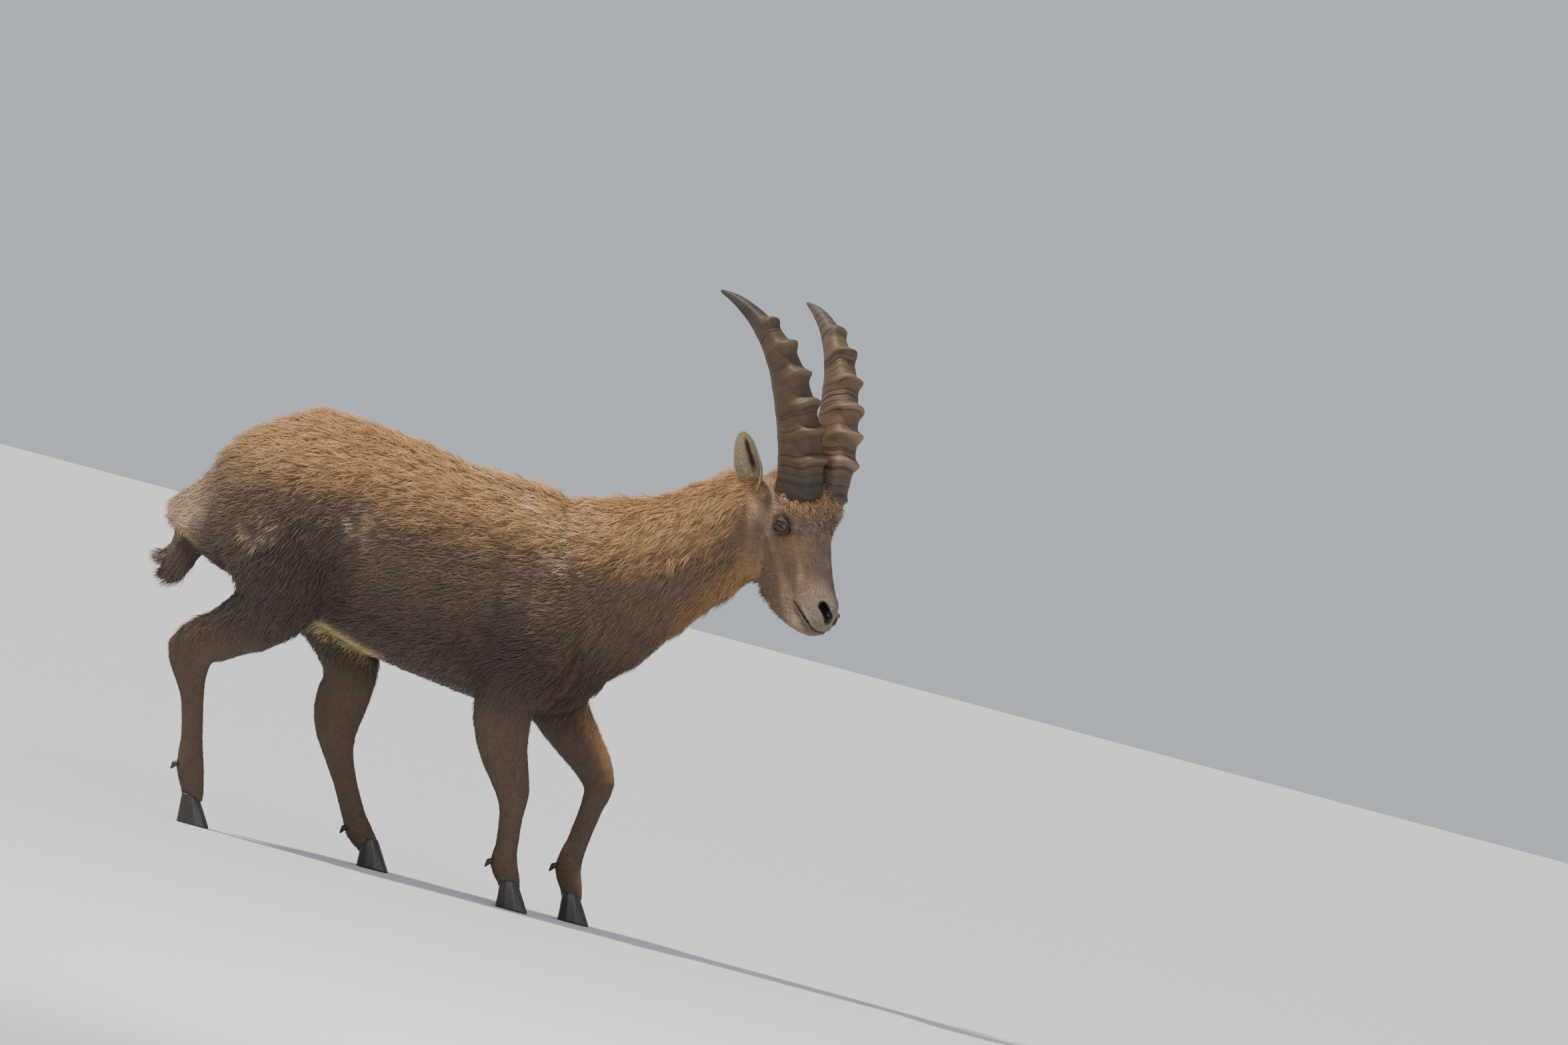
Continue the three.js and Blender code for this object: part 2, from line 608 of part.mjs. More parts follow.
for (const name of legNames) {
  const { thighEnd, kneeEnd } = LEGS[name];
  const plane = ([x, z, nx, nz]) => [new THREE.Vector3(x * U, 0, z * U), new THREE.Vector3(nx, 0, nz)];
  const [upper, rest] = part(legSolid(name), ...plane(thighEnd));
  const [middle, lower] = part(rest, ...plane(kneeEnd));
  const grown = legSolid(name, GAP);
  add(`${name}_upper`, upper, COAT);
  add(`${name}_middle`, middle, DARK_COAT);
  add(`${name}_cannon`, lower, DARK_COAT);
  for (const [where, inner] of [["inner", true], ["outer", false]]) {
    add(`${name}_claw_${where}`, carve(claw(name, inner), grown), HOOF);
    add(`${name}_dewclaw_${where}`, carve(dewclaw(name, inner), grown), HOOF);
  }
}

const ibex = new THREE.Group();
for (const [name, solid, look] of solids) {
  const mesh = new THREE.Mesh(toGeometry(solid), new THREE.MeshStandardMaterial(look));
  mesh.name = name;
  ibex.add(mesh);
}

// The origin is the middle of the box round the whole animal, on the ground.
const box = new THREE.Box3().setFromObject(ibex);
const centre = box.getCenter(new THREE.Vector3());
ibex.position.set(-centre.x, -centre.y, -box.min.z);

export default ibex;
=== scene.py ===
import math

import bmesh
import bpy
import numpy as np
from mathutils import Matrix, Vector


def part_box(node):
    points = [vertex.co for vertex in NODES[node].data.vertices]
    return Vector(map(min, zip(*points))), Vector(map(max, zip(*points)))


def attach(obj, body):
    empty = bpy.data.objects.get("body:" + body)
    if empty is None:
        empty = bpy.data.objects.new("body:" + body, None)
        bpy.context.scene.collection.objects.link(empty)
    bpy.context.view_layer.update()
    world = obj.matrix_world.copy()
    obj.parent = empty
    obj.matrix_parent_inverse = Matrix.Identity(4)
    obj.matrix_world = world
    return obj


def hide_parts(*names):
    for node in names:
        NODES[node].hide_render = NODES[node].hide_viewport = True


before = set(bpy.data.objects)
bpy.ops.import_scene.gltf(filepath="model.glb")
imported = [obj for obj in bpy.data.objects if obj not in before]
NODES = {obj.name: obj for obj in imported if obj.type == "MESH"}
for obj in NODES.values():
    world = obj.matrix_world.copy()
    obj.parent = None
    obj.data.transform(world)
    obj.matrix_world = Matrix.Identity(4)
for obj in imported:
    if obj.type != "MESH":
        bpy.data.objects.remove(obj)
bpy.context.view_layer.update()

SEED = 20
rng = np.random.default_rng(SEED)

# Sizes in metres; U and H are a percent of the height and of the head's length
WITHERS = 0.722
HEAD_LENGTH = 0.318
VOXEL = 0.0045
U = WITHERS / 100
H = HEAD_LENGTH / 100

# The near fore hoof's toe gives where the animal stands in the frame
TOE_X = 50.9 * U
TOE_Y = -10.5 * U
toe_low, toe_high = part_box("fore_right_claw_outer")
SHIFT = np.array([toe_high.x - TOE_X, (toe_low.y + toe_high.y) / 2 - TOE_Y, 0.0])


def place(x, y, z):
    """A body place in percent of the height at the withers, turned to metres in the frame."""
    return np.array([x, y, z]) * U + SHIFT


# The head's own frame: x to the nose, y to its left, z to the forehead
SLOPE = math.radians(15)
TURNED = math.radians(-57)
BOWED = math.radians(57)
TILTED = math.radians(-10)
head_turn = (
    Matrix.Rotation(-SLOPE, 3, "Y")
    @ Matrix.Rotation(TURNED, 3, "Z")
    @ Matrix.Rotation(BOWED, 3, "Y")
    @ Matrix.Rotation(TILTED, 3, "X")
)
HEAD_AXES = np.array(head_turn)
HEAD_AT = place(91, -10.6, 105.6)

# The eyeball, and the opening of its lids: half its length, and its height above and below the middle
EYE_AT = np.array([-2, 12.8, -2.6])
EYE_RADIUS = 0.0162
EYE_HALF = 4.9
EYE_TOP = 2.8
EYE_BOTTOM = 2.4
SIDES = (("left", 1), ("right", -1))

# Two ovals round the head: the middle, and the squares of the half sizes
HEAD_OVAL = ([12, 0, -8], [2700, 700, 1000])
SKULL_OVAL = ([10, 0, -8], [3500, 900, 1500])


def to_head(points):
    """Places in metres as head places in percent of the head's length."""
    return (points - HEAD_AT) @ HEAD_AXES / H


def from_head(points):
    return np.asarray(points, float) * H @ HEAD_AXES.T + HEAD_AT


def head_way(x, y, z):
    way = HEAD_AXES @ np.array([x, y, z], float)
    return way / np.linalg.norm(way)


def mirrored(p):
    return np.column_stack([p[:, 0], np.abs(p[:, 1]), p[:, 2]])


def eye_distance(p):
    """How far head places are from the middle of the nearer eye."""
    return np.linalg.norm(mirrored(p) - EYE_AT, axis=1)


def smoothstep(low, high, value):
    t = np.clip((value - low) / (high - low), 0, 1)
    return t * t * (3 - 2 * t)


def oval_gap(p, middle, squares):
    """How far head places are from an oval's middle, where 1 is its surface."""
    return np.sqrt(((p - middle) ** 2 / squares).sum(1))


def unit(vectors):
    return vectors / np.maximum(np.linalg.norm(vectors, axis=1, keepdims=True), 1e-9)


def linear(red, green, blue):
    """A colour as the eye reads it, turned to the values light is added in."""
    seen = (red, green, blue)
    return np.array([c / 12.92 if c <= 0.04045 else ((c + 0.055) / 1.055) ** 2.4 for c in seen])


def noise(points, scale, seed):
    """A smooth field, mostly between -1 and 1, from seeded waves in four sizes."""
    sizes, waves_each, finer, fainter, spread = 4, 5, 1.7, 1.5, 8
    draw = np.random.default_rng(seed)
    total = np.zeros(len(points))
    for size in range(sizes):
        for _ in range(waves_each):
            way = draw.normal(size=3)
            way /= np.linalg.norm(way)
            phase = points @ way * (2 * np.pi / scale) * finer**size + draw.uniform(0, 7)
            total += np.sin(phase) / fainter**size
    return total / spread


def noise_ways(points, scale, seeds):
    """Three fields side by side, as a direction at each point."""
    return np.column_stack([noise(points, scale, seed) for seed in seeds])


def read(items, key, size=3, kind=float):
    """One value of every item of a mesh, as rows of size numbers."""
    values = np.empty(len(items) * size, kind)
    items.foreach_get(key, values)
    return values.reshape(-1, size)


def make_smooth(mesh):
    mesh.polygons.foreach_set("use_smooth", np.ones(len(mesh.polygons), bool))


def linked(name, data):
    obj = bpy.data.objects.new(name, data)
    bpy.context.scene.collection.objects.link(obj)
    return obj


def faces_of(names, swell=0.0):
    """The named nodes' points, moved out along their normals by swell, and their faces."""
    vertices = []
    faces = []
    start = 0
    for name in names:
        mesh = NODES[name].data
        vertices.append(read(mesh.vertices, "co") + read(mesh.vertices, "normal") * swell)
        faces += [[start + i for i in p.vertices] for p in mesh.polygons]
        start += len(mesh.vertices)
    return np.concatenate(vertices).tolist(), faces


def fused(name, vertices, faces, voxel, weld=0.0):
    """One closed mesh round all the faces, in squares of about the voxel's size."""
    mesh = bpy.data.meshes.new(name)
    mesh.from_pydata(vertices, [], faces)
    work = linked(name, mesh)
    if weld:
        work.modifiers.new("weld", "WELD").merge_threshold = weld
    remesh = work.modifiers.new("remesh", "REMESH")
    remesh.mode = "VOXEL"
    remesh.voxel_size = voxel
    graph = bpy.context.evaluated_depsgraph_get()
    result = bpy.data.meshes.new_from_object(work.evaluated_get(graph))
    bpy.data.objects.remove(work)
    return result


# Skin: the flesh nodes fused and rounded off
TRUNK_PARTS = ("torso", "neck", "head", "tail")
LEG_PARTS = ("_upper", "_middle", "_cannon")
FLESH = [n for n in NODES if n in TRUNK_PARTS or n.endswith(LEG_PARTS)]
FLESH_SWELL = 0.0006
WELD_GAP = 1e-6
ROUNDING = 26
SOFTENING = 3
HEAD_SOFTENING = 2


class Shape:
    """A mesh's points with their neighbours, for smoothing and for normals."""

    def __init__(self, mesh):
        self.mesh = mesh
        self.read()

    def read(self):
        self.points = read(self.mesh.vertices, "co")
        self.edges = read(self.mesh.edges, "vertices", 2, int)
        self.count = np.bincount(self.edges.ravel(), minlength=len(self.points)).astype(float)

    def mean(self, values):
        """Each point's mean of its neighbours' values."""
        a, b = self.edges.T
        size = len(self.points)
        out = np.empty_like(values)
        for k in range(values.shape[1]):
            total = np.bincount(a, values[b, k], size) + np.bincount(b, values[a, k], size)
            out[:, k] = total / np.maximum(self.count, 1)
        return out

    def smooth(self, rounds, weight=1.0, keep_size=True):
        """Moves each point towards its neighbours' mean, and back a little further to keep the size."""
        towards, back = 0.5, 0.52
        weight = np.broadcast_to(np.asarray(weight, float).reshape(-1, 1), (len(self.points), 1))
        for _ in range(rounds):
            self.points = self.points + towards * weight * (self.mean(self.points) - self.points)
            if keep_size:
                self.points = self.points - back * weight * (self.mean(self.points) - self.points)

    def write(self):
        self.mesh.vertices.foreach_set("co", self.points.ravel())
        self.mesh.update()

    def normals(self):
        self.write()
        return read(self.mesh.vertices, "normal")


skin_mesh = fused("flesh", *faces_of(FLESH, FLESH_SWELL), VOXEL, WELD_GAP)
shape = Shape(skin_mesh)
is_head = 1 - smoothstep(1.0, 1.25, oval_gap(to_head(shape.points), *SKULL_OVAL))
low_leg = 1 - smoothstep(38 * U, 52 * U, shape.points[:, 2])
shape.smooth(ROUNDING, 1 - 0.75 * np.maximum(is_head, low_leg))
shape.smooth(SOFTENING, keep_size=False)


# Finer faces on the head, and finer still round the eyes, the nostrils and the mouth
def refine(mesh, wanted):
    work = bmesh.new()
    work.from_mesh(mesh)
    points = np.array([v.co for v in work.verts])
    chosen = wanted(points)
    edges = [e for e in work.edges if chosen[e.verts[0].index] and chosen[e.verts[1].index]]
    bmesh.ops.subdivide_edges(work, edges=edges, cuts=1, use_grid_fill=True, smooth=0.3)
    work.to_mesh(mesh)
    work.free()


def head_area(points):
    p = to_head(points)
    return (np.abs(p[:, 0] - 14) < 50) & (np.abs(p[:, 1]) < 26) & (np.abs(p[:, 2] + 8) < 40)


def fine_area(points):
    p = to_head(points)
    nose = p[:, 0] > 34
    return (eye_distance(p) < 10) | nose


shape.write()
refine(skin_mesh, head_area)
refine(skin_mesh, fine_area)
shape.read()
shape.smooth(HEAD_SOFTENING, head_area(shape.points).astype(float), keep_size=False)

# Where each part of the body is, as weights on the skin's points
p_head = to_head(shape.points)
body = (shape.points - SHIFT) / U
x, y, z = body.T
head_weight = 1 - smoothstep(0.9, 1.2, oval_gap(p_head, *HEAD_OVAL))
leg_weight = 1 - smoothstep(40, 58, z)

# Draw the skin in under the coat: deep on the back and neck, hardly at all on the face and feet
COAT_DEPTH = 0.0075
depth = COAT_DEPTH * (1 - 0.62 * leg_weight) * (1 - 0.8 * head_weight)
depth *= 1 - 0.7 * (1 - smoothstep(6, 30, z))
shape.points = shape.points - shape.normals() * depth[:, None]


# Face: lids over the eyeballs, nostrils and mouth, with the lines they follow on the head's left half
NOSTRIL = [(49, 5.6, -1.6), (51.6, 4.7, -1.8), (54.2, 3.6, -2.6), (56.4, 2.6, -4)]
# The floor line follows the nostrils' pushed-in bottoms, so the painted shade reaches inside them
NOSTRIL_FLOOR = [(x - 2, y - 2.4, z - 2.4) for x, y, z in NOSTRIL]
MOUTH = [(34.6, 7.6, -19), (41.8, 7.2, -17.2), (50.9, 6.8, -14.4), (56.4, 4.6, -13.7), (58, 0, -13.6)]


def curve_gap(p, curve):
    """How far each place is from a polyline, in the same units."""
    best = np.full(len(p), 1e9)
    for start, end in zip(curve[:-1], curve[1:]):
        start, span = np.array(start, float), np.subtract(end, start).astype(float)
        t = np.clip((p - start) @ span / (span @ span), 0, 1)
        best = np.minimum(best, np.linalg.norm(p - start - t[:, None] * span, axis=1))
    return best


def blob(b, centre, radii, soft=0.5):
    """1 inside an ellipse in the side view, falling to 0 past its edge."""
    away = np.hypot((b[:, 0] - centre[0]) / radii[0], (b[:, 2] - centre[1]) / radii[1])
    return 1 - smoothstep(1 - soft, 1 + soft, away)


def push(amount, ways):
    """Moves the skin's points by a share of the head's length along ways given in the head's frame."""
    shape.points = shape.points + (amount[:, None] * ways) * H @ HEAD_AXES.T


def eye_frame(hand):
    """Where an eye looks, the line from its rear corner to its front one, and the way to its upper lid."""
    look = unit(np.array([[0.3, hand * 0.85, 0.3]]))[0]
    along = np.array([0.81, -hand * 0.2, 0.36])
    along = unit((along - along @ look * look)[None])[0]
    above = np.cross(look, along)
    return look, along, above if above @ [-0.5, 0, 0.8] > 0 else -above


def sculpt_eyes():
    radius = EYE_RADIUS / H
    for hand in (1, -1):
        look, along, above = eye_frame(hand)
        away = to_head(shape.points) - EYE_AT * [1, hand, 1]
        a, b, c = away @ along, away @ above, away @ look
        flat = np.hypot(a, b)
        reach = (1 - smoothstep(radius * 0.95, radius * 1.8, flat)) * (c > -radius * 0.5)
        dome = np.sqrt(np.maximum((radius * 1.12) ** 2 - np.minimum(flat, radius * 1.08) ** 2, 0))
        push((dome - c) * reach, look[None])
        bow = np.clip(1 - (np.abs(a) / EYE_HALF) ** 2, 0, 1)
        top, bottom = EYE_TOP * bow**0.7, -EYE_BOTTOM * bow**0.8
        inside = (b < top) & (b > bottom) & (c > 0)
        push(-2.4 * inside, look[None])
        near = (np.abs(a) < EYE_HALF * 1.3) & (c > 0) & ~inside
        crease = np.exp(-(((b - top * 1.2 - 1.5) / 0.4) ** 2)) * near
        push(-0.45 * crease, look[None])
        brow = np.exp(-(((b - top - 3.4) / 1.6) ** 2)) * (np.abs(a) < EYE_HALF * 1.6) * (c > 0)
        push(0.8 * brow, look[None])


def sculpt_nose_and_mouth():
    p = mirrored(to_head(shape.points))
    ways = shape.normals() @ HEAD_AXES
    mouth = curve_gap(p, MOUTH)
    lips = smoothstep(34, 40, p[:, 0])
    push(-1.5 * np.exp(-((mouth / 0.55) ** 2)) * lips, ways)
    push(0.6 * np.exp(-(((mouth - 1.8) / 1.1) ** 2)) * lips, ways)
    slit = curve_gap(p, NOSTRIL)
    push(-4.2 * np.exp(-((slit / 2.0) ** 4)) * smoothstep(0.2, 1.2, p[:, 1]), ways)
    push(0.6 * np.exp(-(((slit - 3.1) / 0.8) ** 2)), ways)


def sculpt_brow():
    """The forehead stands up round the bases of the horns."""
    p = to_head(shape.points)
    ways = shape.normals() @ HEAD_AXES
    top = smoothstep(-0.2, 0.4, ways[:, 2]) * smoothstep(6, -4, p[:, 0]) * smoothstep(-40, -30, p[:, 0])
    push(3.2 * top * smoothstep(0, 8, p[:, 2]) * smoothstep(7, 11, eye_distance(p)), ways)


# Forms of the side, in percent of the height: middle ahead and up, half length and half height
THIGH_MUSCLE = ((-25, 71), (9, 13))
FLANK_HOLLOW = ((-12, 73), (4, 14))
SHOULDER_BLADE = ((34, 74), (7, 14))
BEHIND_SHOULDER = ((24, 68), (3, 12))
NECK_ROOT = ((46, 74), (6, 14))


def sculpt_body():
    """Muscles and hollows that show through the coat, as lifts in metres."""
    b = (shape.points - SHIFT) / U
    outer = smoothstep(4, 8, np.abs(b[:, 1]))
    muscle, flank, neck, behind = 0.006, 0.008, 0.002, 0.005
    lift = muscle * blob(b, *THIGH_MUSCLE) - flank * blob(b, *FLANK_HOLLOW)
    front = muscle * blob(b, *SHOULDER_BLADE) - neck * blob(b, *NECK_ROOT)
    lift += front - behind * blob(b, *BEHIND_SHOULDER)
    shape.points = shape.points + shape.normals() * (lift * outer)[:, None]


sculpt_body()
sculpt_brow()
sculpt_eyes()
sculpt_nose_and_mouth()
shape.write()

skin = linked("skin", skin_mesh)
make_smooth(skin_mesh)


# Markings: one colour for each place on the body, for skin and coat alike. Besides the markings they hold
# painted light: painted sunlight where the coat faces up, and painted shade lower down and in creases and
# hollows.
GOLD = linear(0.76, 0.585, 0.39)
FLANK = linear(0.44, 0.35, 0.28)
DARK = linear(0.285, 0.222, 0.185)
LEG = linear(0.375, 0.3, 0.245)
CREAM = linear(0.74, 0.66, 0.47)
PALE = linear(0.8, 0.68, 0.55)
WOOL = linear(0.84, 0.72, 0.58)
THROAT = linear(0.64, 0.49, 0.31)
FACE = linear(0.515, 0.425, 0.35)
BLAZE = linear(0.46, 0.375, 0.32)
CURLS = linear(0.62, 0.475, 0.33)
MUZZLE = linear(0.5, 0.455, 0.41)
CHIN = linear(0.66, 0.58, 0.43)
LID = linear(0.1, 0.085, 0.08)
GREY = linear(0.62, 0.57, 0.52)
# Dark thigh, elbow and crease of the flank: middle ahead and up, half length and height, strength. The
# crease's darkening is painted shade.
DARK_PATCHES = [
    ((-24, 62), (13, 17), 0.9),
    ((31, 56), (10, 13), 0.85),
    # painted shade in the crease of the flank, beside the sculpted flank hollow
    ((-13, 68), (3.5, 13), 0.6),
]
# Pale patches of shed wool: middle ahead and up, half length and height
WOOL_PATCHES = [
    ((-34, 73.5), (6, 4)),
    ((-10, 80), (4, 4)),
    ((40, 84.4), (5, 5)),
    ((35, 95), (10, 6)),
    ((-36, 99), (7, 4)),
    ((18, 99), (7, 4)),
]


def mix(base, colour, weight):
    weight = np.clip(weight, 0, 1)[:, None]
    return base * (1 - weight) + colour * weight


def body_markings(places, b, up):
    """Gold on the back and the neck's top, partly painted sunlight where the coat faces up; darker below,
    partly painted shade; the throat lit gold as painted light; pale rump, cream groin and a grey-tipped
    tail.
    """
    ahead, left, high = b.T
    height = high + 3.5 * noise(places, 0.09, 3)
    colour = np.tile(FLANK, (len(b), 1))
    # Gold on the back: the coat's own golden colour, with painted sunlight where it faces up
    colour = mix(colour, GOLD, smoothstep(79, 94, height) * smoothstep(-0.25, 0.4, up))
    # Darker below: partly the coat's own darker colour and partly painted shade on the lower side
    colour = mix(colour, DARK, smoothstep(76, 56, height) * 0.85)
    for centre, radii, strength in DARK_PATCHES:
        colour = mix(colour, DARK, blob(b, centre, radii) * strength)
    colour = mix(colour, PALE, smoothstep(-43, -51, ahead) * smoothstep(60, 66, height) * 0.85)
    colour = mix(colour, LEG, smoothstep(54, 42, height))
    fold = 53.4 - 0.3 * (ahead + 16.8)
    groin = smoothstep(fold - 0.8, fold + 0.4, high) * smoothstep(63, 58, high) * smoothstep(-8, -5.5, left)
    groin *= smoothstep(8, 6, left)
    colour = mix(colour, CREAM, groin * smoothstep(-19, -16, ahead) * smoothstep(5, 0, ahead))
    neck = smoothstep(44, 60, ahead)
    # The neck's top gold: partly its own golden hair and partly painted sunlight where it faces up
    colour = mix(colour, GOLD, neck * smoothstep(0.05, 0.65, up) * 0.9)
    # Painted light: the down-facing throat painted yellow-gold, as light glowing through its hair
    colour = mix(colour, THROAT, neck * smoothstep(-0.1, -0.6, up) * smoothstep(62, 76, ahead) * 0.8)
    wool = sum(blob(b, centre, radii, 0.4) for centre, radii in WOOL_PATCHES)
    colour = mix(colour, WOOL, wool * smoothstep(-0.1, 0.5, noise(places, 0.03, 8)) * 0.7)
    tail = smoothstep(-45.5, -47.5, ahead) * smoothstep(69, 65, high) * (np.abs(left) < 6)
    colour = mix(colour, LEG * 0.9, tail)
    return mix(colour, GREY, tail * smoothstep(-52, -56, ahead + 0.2 * (64 - high)) * 0.7)


def head_markings(places, p, on_head, colour):
    """Brown face, curls, grey muzzle, dark skin round the eyes; painted shade in the nostrils, in the
    mouth's crease and partly under the mouth; a pale chin partly lit as painted light; painted golden
    highlights towards the back of the head.
    """
    q = mirrored(p)
    ahead, high, side = p[:, 0], p[:, 2], q[:, 1]
    colour = mix(colour, FACE, on_head)
    colour = mix(colour, BLAZE, on_head * smoothstep(9, 5, side) * smoothstep(-2, 5, high) * 0.9)
    colour = mix(colour, CURLS, on_head * smoothstep(4, 13, high) * smoothstep(4, -6, ahead) * 0.9)
    gland = np.linalg.norm((q - [10, 12, -3]) / [9, 9, 6], axis=1)
    colour = mix(colour, THROAT, on_head * (1 - smoothstep(0.5, 1.3, gland)) * 0.35)
    muzzle = on_head * smoothstep(38, 50, ahead - 0.2 * (high + 8))
    colour = mix(colour, MUZZLE, muzzle * 0.85)
    # The chin's bottom pale yellow: partly its own pale colour and partly painted light glowing through its
    # hair
    colour = mix(colour, CHIN, muzzle * smoothstep(-19, -23, high) * 0.9)
    mouth = curve_gap(q, MOUTH)
    # A dark band under the mouth: partly the lower lip's dark skin and partly its painted shadow
    lip_skin_and_painted_shadow = on_head * np.exp(-(((mouth - 1.6) / 1.8) ** 2)) * (high < -14) * smoothstep(34, 40, ahead)
    colour = mix(colour, DARK, lip_skin_and_painted_shadow * 0.75)
    eye = eye_distance(p)
    colour = mix(colour, DARK, (1 - smoothstep(5.6, 8.6, eye)) * 0.55)
    # The mouth's line near-black: painted shade in the crease between the lips
    colour = mix(colour, LID, on_head * (1 - smoothstep(0.6, 1.2, mouth)) * smoothstep(33, 37, ahead) * 0.9)
    # Painted shade inside the nostrils' hollows, down to their floor
    hollow = np.minimum(curve_gap(q, NOSTRIL), curve_gap(q, NOSTRIL_FLOOR))
    painted_nostril_shade = on_head * (1 - smoothstep(2.2, 3.0, hollow)) * smoothstep(0.4, 1.2, side)
    colour = mix(colour, LID * 0.3, painted_nostril_shade)
    dots = smoothstep(0.32, 0.5, noise(places, 0.007, 40)) * muzzle
    dots = dots * smoothstep(-18, -12, high) * smoothstep(2, 5, side)
    colour = mix(colour, LID, dots * 0.55)
    colour = mix(colour, LID, 1 - smoothstep(5.3, 6.1, eye))
    # Painted highlights: patches of golden sunlit hair towards the back of the head
    painted_hair_highlight = on_head * smoothstep(0.1, 0.7, noise(places, 0.045, 17)) * smoothstep(40, 25, ahead)
    return mix(colour, GOLD * 0.8, painted_hair_highlight * 0.4)


def markings(places, normals):
    p = to_head(places)
    on_head = 1 - smoothstep(0.75, 1.2, oval_gap(p, *HEAD_OVAL))
    colour = body_markings(places, (places - SHIFT) / U, normals[:, 2])
    colour = head_markings(places, p, on_head, colour)
    mottle = 1 + 0.12 * noise(places, 0.035, 5) + 0.1 * on_head * noise(places, 0.014, 6)
    return colour * mottle[:, None]


def paint(mesh, values):
    colours = np.ones((len(mesh.vertices), 4), np.float32)
    colours[:, :3] = values
    layer = mesh.color_attributes.new("coat", "FLOAT_COLOR", "POINT")
    layer.data.foreach_set("color", colours.ravel())


GRAIN_SCALE = 700
GRAIN_HEIGHT = 0.001


def coat_material(name, roughness, bump=0.0, sheen=0.0):
    material = bpy.data.materials.new(name)
    material.use_nodes = True
    tree = material.node_tree
    shader = tree.nodes["Principled BSDF"]
    colour = tree.nodes.new("ShaderNodeVertexColor")
    colour.layer_name = "coat"
    tree.links.new(colour.outputs["Color"], shader.inputs["Base Color"])
    shader.inputs["Roughness"].default_value = roughness
    shader.inputs["Specular IOR Level"].default_value = 0.2
    shader.inputs["Sheen Weight"].default_value = sheen
    shader.inputs["Sheen Roughness"].default_value = 0.5
    if bump:
        grain = tree.nodes.new("ShaderNodeTexNoise")
        grain.inputs["Scale"].default_value = GRAIN_SCALE
        lift = tree.nodes.new("ShaderNodeBump")
        lift.inputs["Strength"].default_value = bump
        lift.inputs["Distance"].default_value = GRAIN_HEIGHT
        where = tree.nodes.new("ShaderNodeTexCoord")
        tree.links.new(where.outputs["Object"], grain.inputs["Vector"])
        tree.links.new(grain.outputs["Fac"], lift.inputs["Height"])
        tree.links.new(lift.outputs["Normal"], shader.inputs["Normal"])
    return material


def plain_material(name, colour, roughness):
    material = bpy.data.materials.new(name)
    material.use_nodes = True
    shader = material.node_tree.nodes["Principled BSDF"]
    shader.inputs["Base Color"].default_value = (*linear(*colour), 1)
    shader.inputs["Roughness"].default_value = roughness
    return material


# The skin between the tufts is painted darker than they are, as painted shade under the coat
HIDE_SHADE = 0.75
skin_normal = shape.normals()
skin_colour = markings(shape.points, skin_normal)
paint(skin_mesh, skin_colour * HIDE_SHADE)
hide_look = coat_material("hide", 0.8, bump=0.5)
skin_mesh.materials.append(hide_look)


# An unwrap of the skin's own shape, for the baked colours
def unwrap(obj):
    obj.data.uv_layers.new(name="OFBake")
    bpy.context.view_layer.objects.active = obj
    obj.select_set(True)
    bpy.ops.object.mode_set(mode="EDIT")
    bpy.ops.mesh.select_all(action="SELECT")
    bpy.ops.uv.smart_project(angle_limit=math.radians(66), island_margin=0.002)
    bpy.ops.object.mode_set(mode="OBJECT")
    obj.select_set(False)


unwrap(skin)

# The lie of the coat: a direction at each point of the skin, smoothed over its neighbours
TRUNK_LIE = [-1.0, 0, -0.42]
NECK_LIE = [-0.62, 0, -0.95]
LEG_LIE = [-0.12, 0, -1]
THIGH_LIE = [-0.45, 0, -1]
TAIL_LIE = [-0.2, 0, -1.0]
TAIL_TIP_LIE = [-1.0, 0, -0.5]
THIGH = ((-26, 62), (13, 20))
LIE_ROUNDS = 12


def turned(ways, towards, weight):
    weight = weight[:, None]
    return ways * (1 - weight) + np.array(towards) * weight


def along_skin(ways):
    """Directions laid flat on the skin, at unit length."""
    return unit(ways - (ways * skin_normal).sum(1, keepdims=True) * skin_normal)


tail = smoothstep(-46, -47.5, x) * smoothstep(70, 67, z) * (np.abs(y) < 6)
tail_end = smoothstep(66, 57, z) * smoothstep(-49, -53, x)
lie = np.tile(TRUNK_LIE, (len(shape.points), 1))
lie = turned(lie, NECK_LIE, smoothstep(40, 56, x))
lie = turned(lie, LEG_LIE, 1 - smoothstep(44, 62, z))
lie = turned(lie, THIGH_LIE, blob(body, *THIGH))
lie = np.where(tail[:, None] > 0.5, turned(np.array(TAIL_LIE), TAIL_TIP_LIE, tail_end), lie)
lie = turned(lie, head_way(-1, 0, -0.1), head_weight)
for _ in range(LIE_ROUNDS):
    lie = along_skin(shape.mean(lie))

# How long and wide the tufts are at each point, in metres
BODY_HAIR = 0.027
BACK_HAIR_MORE = 0.008
TAIL_ROOT_MORE = 0.01
FACE_HAIR = 0.0062
POLL_HAIR_MORE = 0.004
BODY_TUFT_WIDE = 0.0017
FACE_TUFT_WIDE = 0.0009
TAIL_HAIR = 0.04
TAIL_END_LESS = 0.022
TAIL_TUFT_WIDE = 0.0014
WHISKER_LONG = 0.03
WHISKER_WIDE = 0.0006
BROW_HAIR = 0.012
BROW_HAIR_LEAST = 0.003
BROW_TUFT_WIDE = 0.0013
eye_gap = eye_distance(p_head)
near_head = 1 - smoothstep(1.15, 1.7, oval_gap(p_head, *HEAD_OVAL))
length = np.full(len(x), BODY_HAIR)
length += BACK_HAIR_MORE * smoothstep(80, 96, z) * (1 - head_weight)
length *= 1 - 0.55 * leg_weight
length *= 1 - 0.35 * (1 - smoothstep(20, 45, z))
length += TAIL_ROOT_MORE * tail
length *= 1 - 0.55 * near_head * smoothstep(0.2, -0.4, skin_normal[:, 2])
face_length = FACE_HAIR + POLL_HAIR_MORE * smoothstep(20, -10, p_head[:, 0])
length = length * (1 - head_weight) + head_weight * face_length
on_neck = smoothstep(44, 60, x) * (1 - head_weight)
